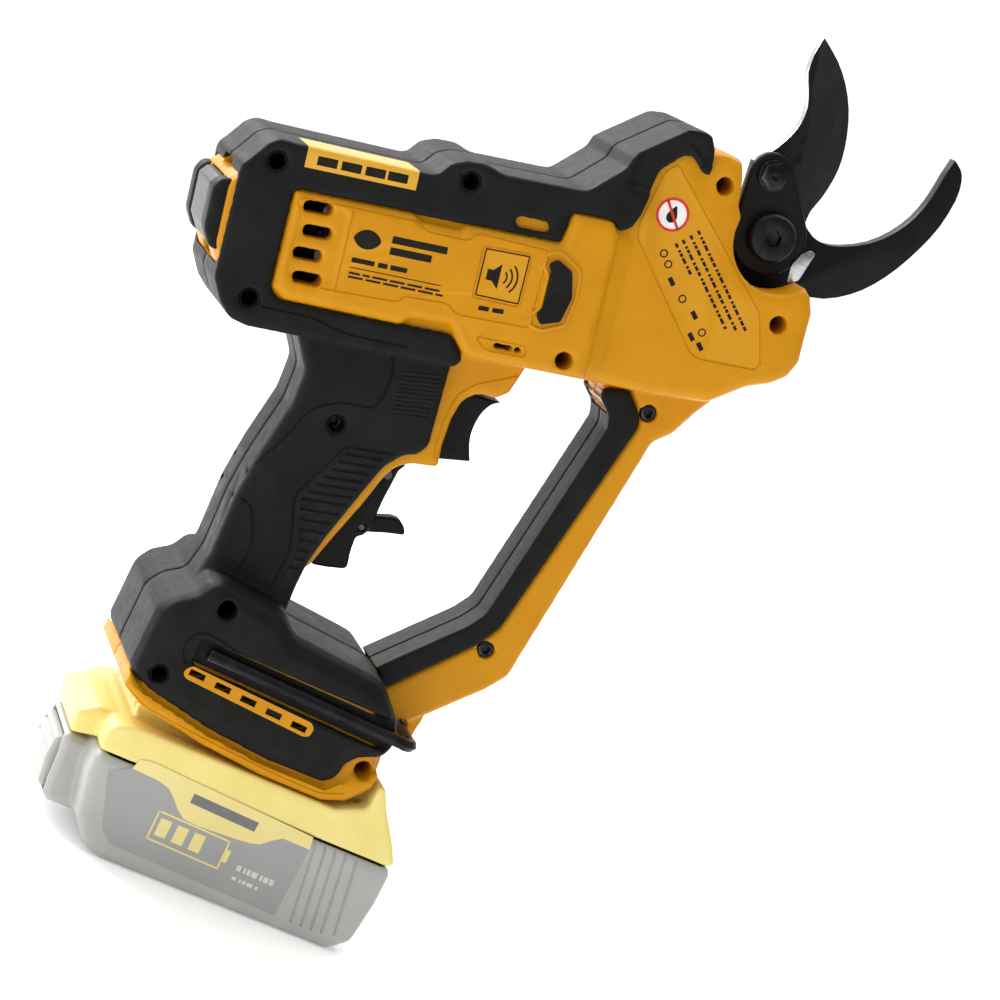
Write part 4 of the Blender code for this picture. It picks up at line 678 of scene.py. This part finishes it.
# blades, link and bolts
cutting = {"edgeBreak": 0.00035, "flankDepth": 0.00015, "brightAbove": 0.298,
           "flank": sidePath((60.0, 352.0), (67.5, 344.0), (72.0, 327.5), (75.6, 319.8), (78.1, 313.7), (80.2, 305.0),
                             (80.6, 298.0), (79.0, 290.0), (90.0, 280.0), (104.0, 282.0), (104.0, 352.0)),
           "scraper": sidePath((91.6, 272.0), (93.2, 277.0), (95.6, 279.2), (97.6, 278.9), (97.2, 276.0),
                               (96.4, 268.4), (93.0, 265.8)), "scraperFrom": -9.3, "scraperTo": -8.3}
blade = bevelCopy("cutting_blade", "swing_blade", "blade", "coatedSteel", cutting["edgeBreak"])
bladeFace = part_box("cutting_blade")[0][1]
flank = slab(cutting["flank"], bladeFace - mm, bladeFace + cutting["flankDepth"])
combine(blade, [giveFinish(flank, "groundCoat")])
blade.data.materials.append(materials["groundSteel"])
edgeSlot = len(blade.data.materials) - 1
for face in blade.data.polygons:
    if abs(face.normal.y) < 0.5 and face.normal.x < -0.2 and face.center.z > cutting["brightAbove"]:
        face.material_index = edgeSlot
standsFor(blade, "blade", None, "cutting_blade", smoothAngle=30)
hook = bevelCopy("hook_blade", "counter_blade", "housing", "coatedSteel", cutting["edgeBreak"])
standsFor(hook, "housing", None, "hook_blade", smoothAngle=30)
softCopy("link_plate", "drive_link", "blade", "coatedSteel", 0.0004, 3)
bolt = bevelCopy("pivot_bolt", "pivot_screw", "blade", "oxideSteel", 0.00035)
standsFor(bolt, "blade", None, "pivot_bolt")
nut = bevelCopy("pivot_nut", "pivot_nut_round", "blade", "oxideSteel", 0.0004)
standsFor(nut, "blade", None, "pivot_nut")
studLow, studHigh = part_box("blade_stud")
studAt = ((studLow[0] + studHigh[0]) / 2, (studLow[2] + studHigh[2]) / 2)
# radii, and places along y from the outer end inwards
studNut = {"flange": 5.3, "flangeFrom": 1.6, "hex": 4.7, "hexFrom": 0.5, "hexTo": 2.4, "tip": 2.4, "tipTo": 2.0,
           "socket": 1.2, "neck": 2.5, "neckFrom": -7.9, "neckTo": 4.0}
stud = giveFinish(roundPost(studAt, studNut["flange"] * mm, studLow[1] + studNut["flangeFrom"] * mm, studHigh[1], 40),
                  "oxideSteel")
hexNut = giveFinish(roundPost(studAt, studNut["hex"] * mm, studLow[1] + studNut["hexFrom"] * mm,
                              studLow[1] + studNut["hexTo"] * mm, 6), "oxideSteel")
tip = giveFinish(roundPost(studAt, studNut["tip"] * mm, studLow[1], studLow[1] + studNut["tipTo"] * mm, 32),
                 "oxideSteel")
combine(stud, [hexNut, tip], "UNION")
combine(stud, [giveFinish(roundPost(studAt, studNut["socket"] * mm, studLow[1] - mm, studLow[1] + mm, 6),
                          "oxideSteel")])
narrow = roundPost(studAt, 8 * mm, studNut["neckFrom"] * mm, studNut["neckTo"] * mm, 40)
combine(narrow, [roundPost(studAt, studNut["neck"] * mm, -9 * mm, 6 * mm, 40)])
combine(stud, [giveFinish(narrow, "oxideSteel")])
applyModifier(stud, "BEVEL", width=0.00025, segments=2, limit_method="ANGLE", angle_limit=math.radians(40))
stud.name = "stud_nut"
standsFor(stud, "blade", None, "blade_stud")
scraper = giveFinish(slab(roundedPath(cutting["scraper"], 0.001), cutting["scraperFrom"] * mm,
                          cutting["scraperTo"] * mm), "groundSteel")
applyModifier(scraper, "BEVEL", width=0.0002, segments=2, limit_method="ANGLE", angle_limit=math.radians(50))
scraper.name = "sap_scraper"
standsFor(scraper, "housing", None)
print("stage: blades made")

# trigger, lever, latch and key
softCopy("trigger", "finger_trigger", "trigger_body", "nylonBlack", 0.0005, 5)
softCopy("safety_lever", "lock_lever", "safety_lever_body", "nylonBlack", 0.0005, 4)
softCopy("lever_latch", "lock_tab", "latch_body", "nylonBlack", 0.0003, 4)
softCopy("hex_key", "hex_wrench", "hex_key_body", "oxideSteel", 0.0003, 1)
keyBed = sidePath((-41.6, 80.4), (-41.6, 72.2), (30.0, 69.9), (30.0, 79.0))
film("key_bed", [keyBed], -1, 0.034, 0.00025, "rubberBlack", "housing")
print("stage: controls made")

# vent strip at the foot
strip = {"outline": sidePath((-43.0, 69.4), (-41.2, 71.4), (3.2, 69.3), (4.8, 67.6), (4.4, 64.8), (2.4, 64.0),
                             (-41.6, 66.7), (-43.0, 67.8)), "innerFace": 0.0370, "outerFace": 0.0382,
         "first": (-38.6, 69.3), "step": (9.6, -0.7), "slots": 5,
         "slot": ((-2.8, -1.1), (2.8, -1.3), (2.8, 0.9), (-2.8, 1.1))}
for side, sideName in ((-1, "right"), (1, "left")):
    frameStrip = giveFinish(slab(roundedPath(strip["outline"], 0.0008), side * strip["innerFace"],
                                 side * strip["outerFace"]), "nylonYellow")
    for k in range(strip["slots"]):
        x, z = strip["first"][0] + strip["step"][0] * k, strip["first"][1] + strip["step"][1] * k
        hole = sidePath(*[(x + across, z + up) for across, up in strip["slot"]])
        combine(frameStrip, [giveFinish(slab(hole, side * 0.03, side * 0.045), "nylonYellow")])
    frameStrip.name = "vent_strip_" + sideName
    standsFor(frameStrip, "housing", None)

# printed marks: plain shapes in place of any lettering
def textDashes(start, end, height):
    # short dashes of uneven length, as a line of small print looks from afar
    start, end = Vector(start), Vector(end)
    along = (end - start).normalized()
    lengths, gap, shapes, place, k = (1.5, 0.8, 1.2, 2.1, 0.9, 1.7), 0.5, [], 0.0, 0
    while place < (end - start).length - 1.0:
        reach = min(lengths[k % len(lengths)], (end - start).length - place)
        shapes.append(barShape((start + along * place) * mm, (start + along * (place + reach)) * mm, height * mm))
        place += reach + (gap if k % 3 else gap * 2)
        k += 1
    return shapes


def barrelBar(u1, v1, u2, v2, width):
    return barShape(barrelPoint(u1, v1), barrelPoint(u2, v2), width * mm)


marks = {"lines": [((51.6, 269.2), (82.4, 245.8)), ((50.0, 266.7), (78.8, 244.9)), ((48.3, 264.3), (75.6, 243.7)),
                   ((46.7, 262.2), (56.4, 254.9))],
         "rings": [(44.5, 257.6), (47.5, 255.0), (57.2, 246.7), (68.5, 239.4)],
         "tags": [(51.2, 250.3), (63.4, 243.5), (65.8, 236.6), (70.0, 234.9)],
         "disc": (41.3, 270.3), "discRadius": 5.7}
small = [shape for start, end in marks["lines"] for shape in textDashes(start, end, 1.0)]
small += [barShape(((x - 1.2) * mm, (z + 0.9) * mm), ((x + 1.2) * mm, (z - 0.9) * mm), 1.6 * mm)
          for x, z in marks["tags"]]
film("head_print", small, -1, housing["headFace"], 0.00005, "inkBlack", "housing")
for k, (x, z) in enumerate(marks["rings"]):
    ringPiece("head_sign_%d" % (k + 1), (x * mm, z * mm), 1.4 * mm, 0.95 * mm, -25.06 * mm, -24.9 * mm, "inkBlack",
              "housing")
discAt = (marks["disc"][0] * mm, marks["disc"][1] * mm)
reach = marks["discRadius"]
film("sign_ground", [ringShape(discAt, reach * mm)], -1, housing["headFace"], 0.00004, "inkWhite", "housing")
ringPiece("sign_ring", discAt, reach * mm, (reach - 0.9) * mm, -25.1 * mm, -24.9 * mm, "inkRed", "housing")
slash = barShape((discAt[0] - 3.6 * mm, discAt[1] + 3.6 * mm), (discAt[0] + 3.6 * mm, discAt[1] - 3.6 * mm), 0.9 * mm)
film("sign_slash", [slash], -1, housing["headFace"], 0.0001, "inkRed", "housing")
drop = [(discAt[0] + x * mm, discAt[1] + z * mm) for x, z in
        ((0, 3.4), (1.2, 1.2), (1.9, -0.6), (1.5, -2.2), (0, -3.0), (-1.5, -2.2), (-1.9, -0.6), (-1.2, 1.2))]
film("sign_drop", [roundedPath(drop, 0.0006)], -1, housing["headFace"], 0.00007, "inkBlack", "housing")

leaf = [barrelPoint(-139.0 + 4.6 * math.cos(a), -26.0 + 3.2 * math.sin(a) * abs(math.sin(a)) ** 0.4)
        for a in [2 * math.pi * k / 28 for k in range(28)]]
# bars on the side panel: from and to along the barrel, height and width
panelBars = [(-131.0, -112.5, -24.3, 2.4), (-131.0, -117.0, -28.0, 2.4), (-142.6, -135.0, -33.3, 1.6),
             (-133.8, -130.6, -33.3, 1.6), (-129.6, -124.0, -33.3, 1.6), (-142.9, -112.0, -35.8, 0.3)]
panelMarks = [leaf] + [barrelBar(start, v, end, v, width) for start, end, v, width in panelBars]
for row, vHeight in enumerate((-37.6, -38.9)):
    u = -142.6
    while u < -114.5 + 3 * row:
        width = 2.4 + 1.3 * ((row + int(-u)) % 3)
        panelMarks.append(barrelBar(u, vHeight, u + width, vHeight, 0.7))
        u += width + 0.9
corners = [(-100.0, -20.9), (-85.3, -20.6), (-85.5, -36.5), (-100.1, -36.3)]
panelMarks += [barrelBar(*a, *b, 0.45) for a, b in zip(corners, corners[1:] + corners[:1])]
panelMarks += [[barrelPoint(u, v) for u, v in
                ((-98.0, -27.2), (-96.0, -27.2), (-93.6, -24.8), (-93.6, -33.2), (-96.0, -30.8), (-98.0, -30.8))]]
for k in range(3):
    radius = 2.6 + 1.8 * k
    arcPoints = [(-93.8 + radius * math.cos(math.radians(a)), -29.0 + radius * math.sin(math.radians(a)))
                 for a in range(-45, 46, 15)]
    panelMarks += [barrelBar(*a, *b, 0.6) for a, b in zip(arcPoints, arcPoints[1:])]
panelMarks += [barrelBar(-98.1, -40.3, -94.6, -40.2, 1.5), barrelBar(-93.4, -40.2, -89.6, -40.0, 1.5)]
film("panel_print", panelMarks, -1, housing["panelFace"], 0.00005, "inkBlack", "housing")
print("stage: marks made")

# battery pack
pack = {"voxel": 0.0008, "rounds": 2, "ribRadius": 0.00055, "sideFace": 0.0375,
        "ribs": [((22.8, 32.3), (27.0, 4.1)), ((26.6, 32.4), (30.7, 4.2)), ((30.3, 32.5), (34.5, 4.3)),
                 ((34.1, 32.6), (38.1, 4.8)), ((38.3, 31.9), (42.5, 5.6))],
        "swoosh": [(21.8, 29.5), (11.8, 29.6), (8.6, 27.4), (5.6, 24.8), (2.6, 23.9), (-2.6, 23.4), (-16.0, 22.6),
                   (-21.5, 23.0), (-24.6, 25.0), (-27.4, 28.0), (-30.5, 30.6), (-35.0, 31.7), (-44.5, 32.2)],
        "labelTop": [(-43.5, 35.9), (-39.3, 36.8), (21.1, 33.9)],
        "labelLow": [(-51.6, 28.7), (-45.0, 9.8), (-40.5, 6.0), (20.8, 4.2)],
        # a cell's outline, its end cap and its three charge bars, each bar as two ends and a width
        "cellBars": [((-30, 12.5), (-4, 11.8), 0.6), ((-30, 22.5), (-4, 21.8), 0.6), ((-30, 12.2), (-30, 22.8), 0.6),
                     ((-4, 11.5), (-4, 22.1), 0.6), ((-2.9, 14.6), (-2.9, 19.0), 1.5)],
        "chargeFrom": (-26.4, 14.4), "chargeStep": (6.2, -0.17), "chargeHeight": 6.2, "chargeWidth": 4.0,
        "printRows": [((2.0, 14.6), (16.0, 14.2), 2.0), ((2.0, 10.8), (12.0, 10.5), 1.2)],
        "slatX": -0.0683, "slatBow": 0.0006, "slatHalf": 0.0145, "slatFrom": 12.5, "slatStep": 4.3}
case = giveFinish(copyNode("battery_case", "pack_case"), "absGrey")
soften(case, pack["voxel"], pack["rounds"])
for side in (-1, 1):
    grooves(case, [(sidePath(*rib), False) for rib in pack["ribs"]], side, pack["ribRadius"])
standsFor(case, "battery", None, "battery_case", smoothAngle=50)
cover = giveFinish(copyNode("battery_top", "pack_cover"), "absYellow")
soften(cover, pack["voxel"], pack["rounds"])
standsFor(cover, "battery", None, "battery_top", smoothAngle=50)
for side, sideName in ((-1, "right"), (1, "left")):
    film("pack_label_grey_" + sideName, [sidePath(*pack["swoosh"], *pack["labelLow"])], side, pack["sideFace"],
         0.00006, "filmGrey", "battery")
    film("pack_label_yellow_" + sideName, [sidePath(*pack["swoosh"], *pack["labelTop"])], side, pack["sideFace"],
         0.00008, "filmYellow", "battery")
cell = [barShape(*sidePath(start, end), width * mm) for start, end, width in pack["cellBars"]]
for k in range(3):
    x, z = pack["chargeFrom"][0] + pack["chargeStep"][0] * k, pack["chargeFrom"][1] + pack["chargeStep"][1] * k
    cell.append(barShape(*sidePath((x, z), (x, z + pack["chargeHeight"])), pack["chargeWidth"] * mm))
film("pack_sign", cell, -1, pack["sideFace"], 0.0001, "filmYellow", "battery")
printLines = [shape for start, end, height in pack["printRows"] for shape in textDashes(start, end, height)]
film("pack_print", printLines, -1, pack["sideFace"], 0.0001, "filmPale", "battery")
film("pack_mark", [barShape(*sidePath((-22.0, 30.6), (2.0, 29.7)), 3.4 * mm)], -1, pack["sideFace"], 0.00012,
     "inkGrey", "battery")
button = giveFinish(copyNode("battery_button", "release_button"), "absGrey")
slats = [wire([(pack["slatX"] + pack["slatBow"] * abs(k - 1.5), y, (pack["slatFrom"] + pack["slatStep"] * k) * mm)
               for y in (-pack["slatHalf"], pack["slatHalf"])], 0.0008) for k in range(4)]
combine(button, [giveFinish(joinPieces("slats", slats), "absGrey")])
soften(button, 0.0004, 2)
standsFor(button, "battery_button_body", None, "battery_button", smoothAngle=50)
print("stage: battery made")
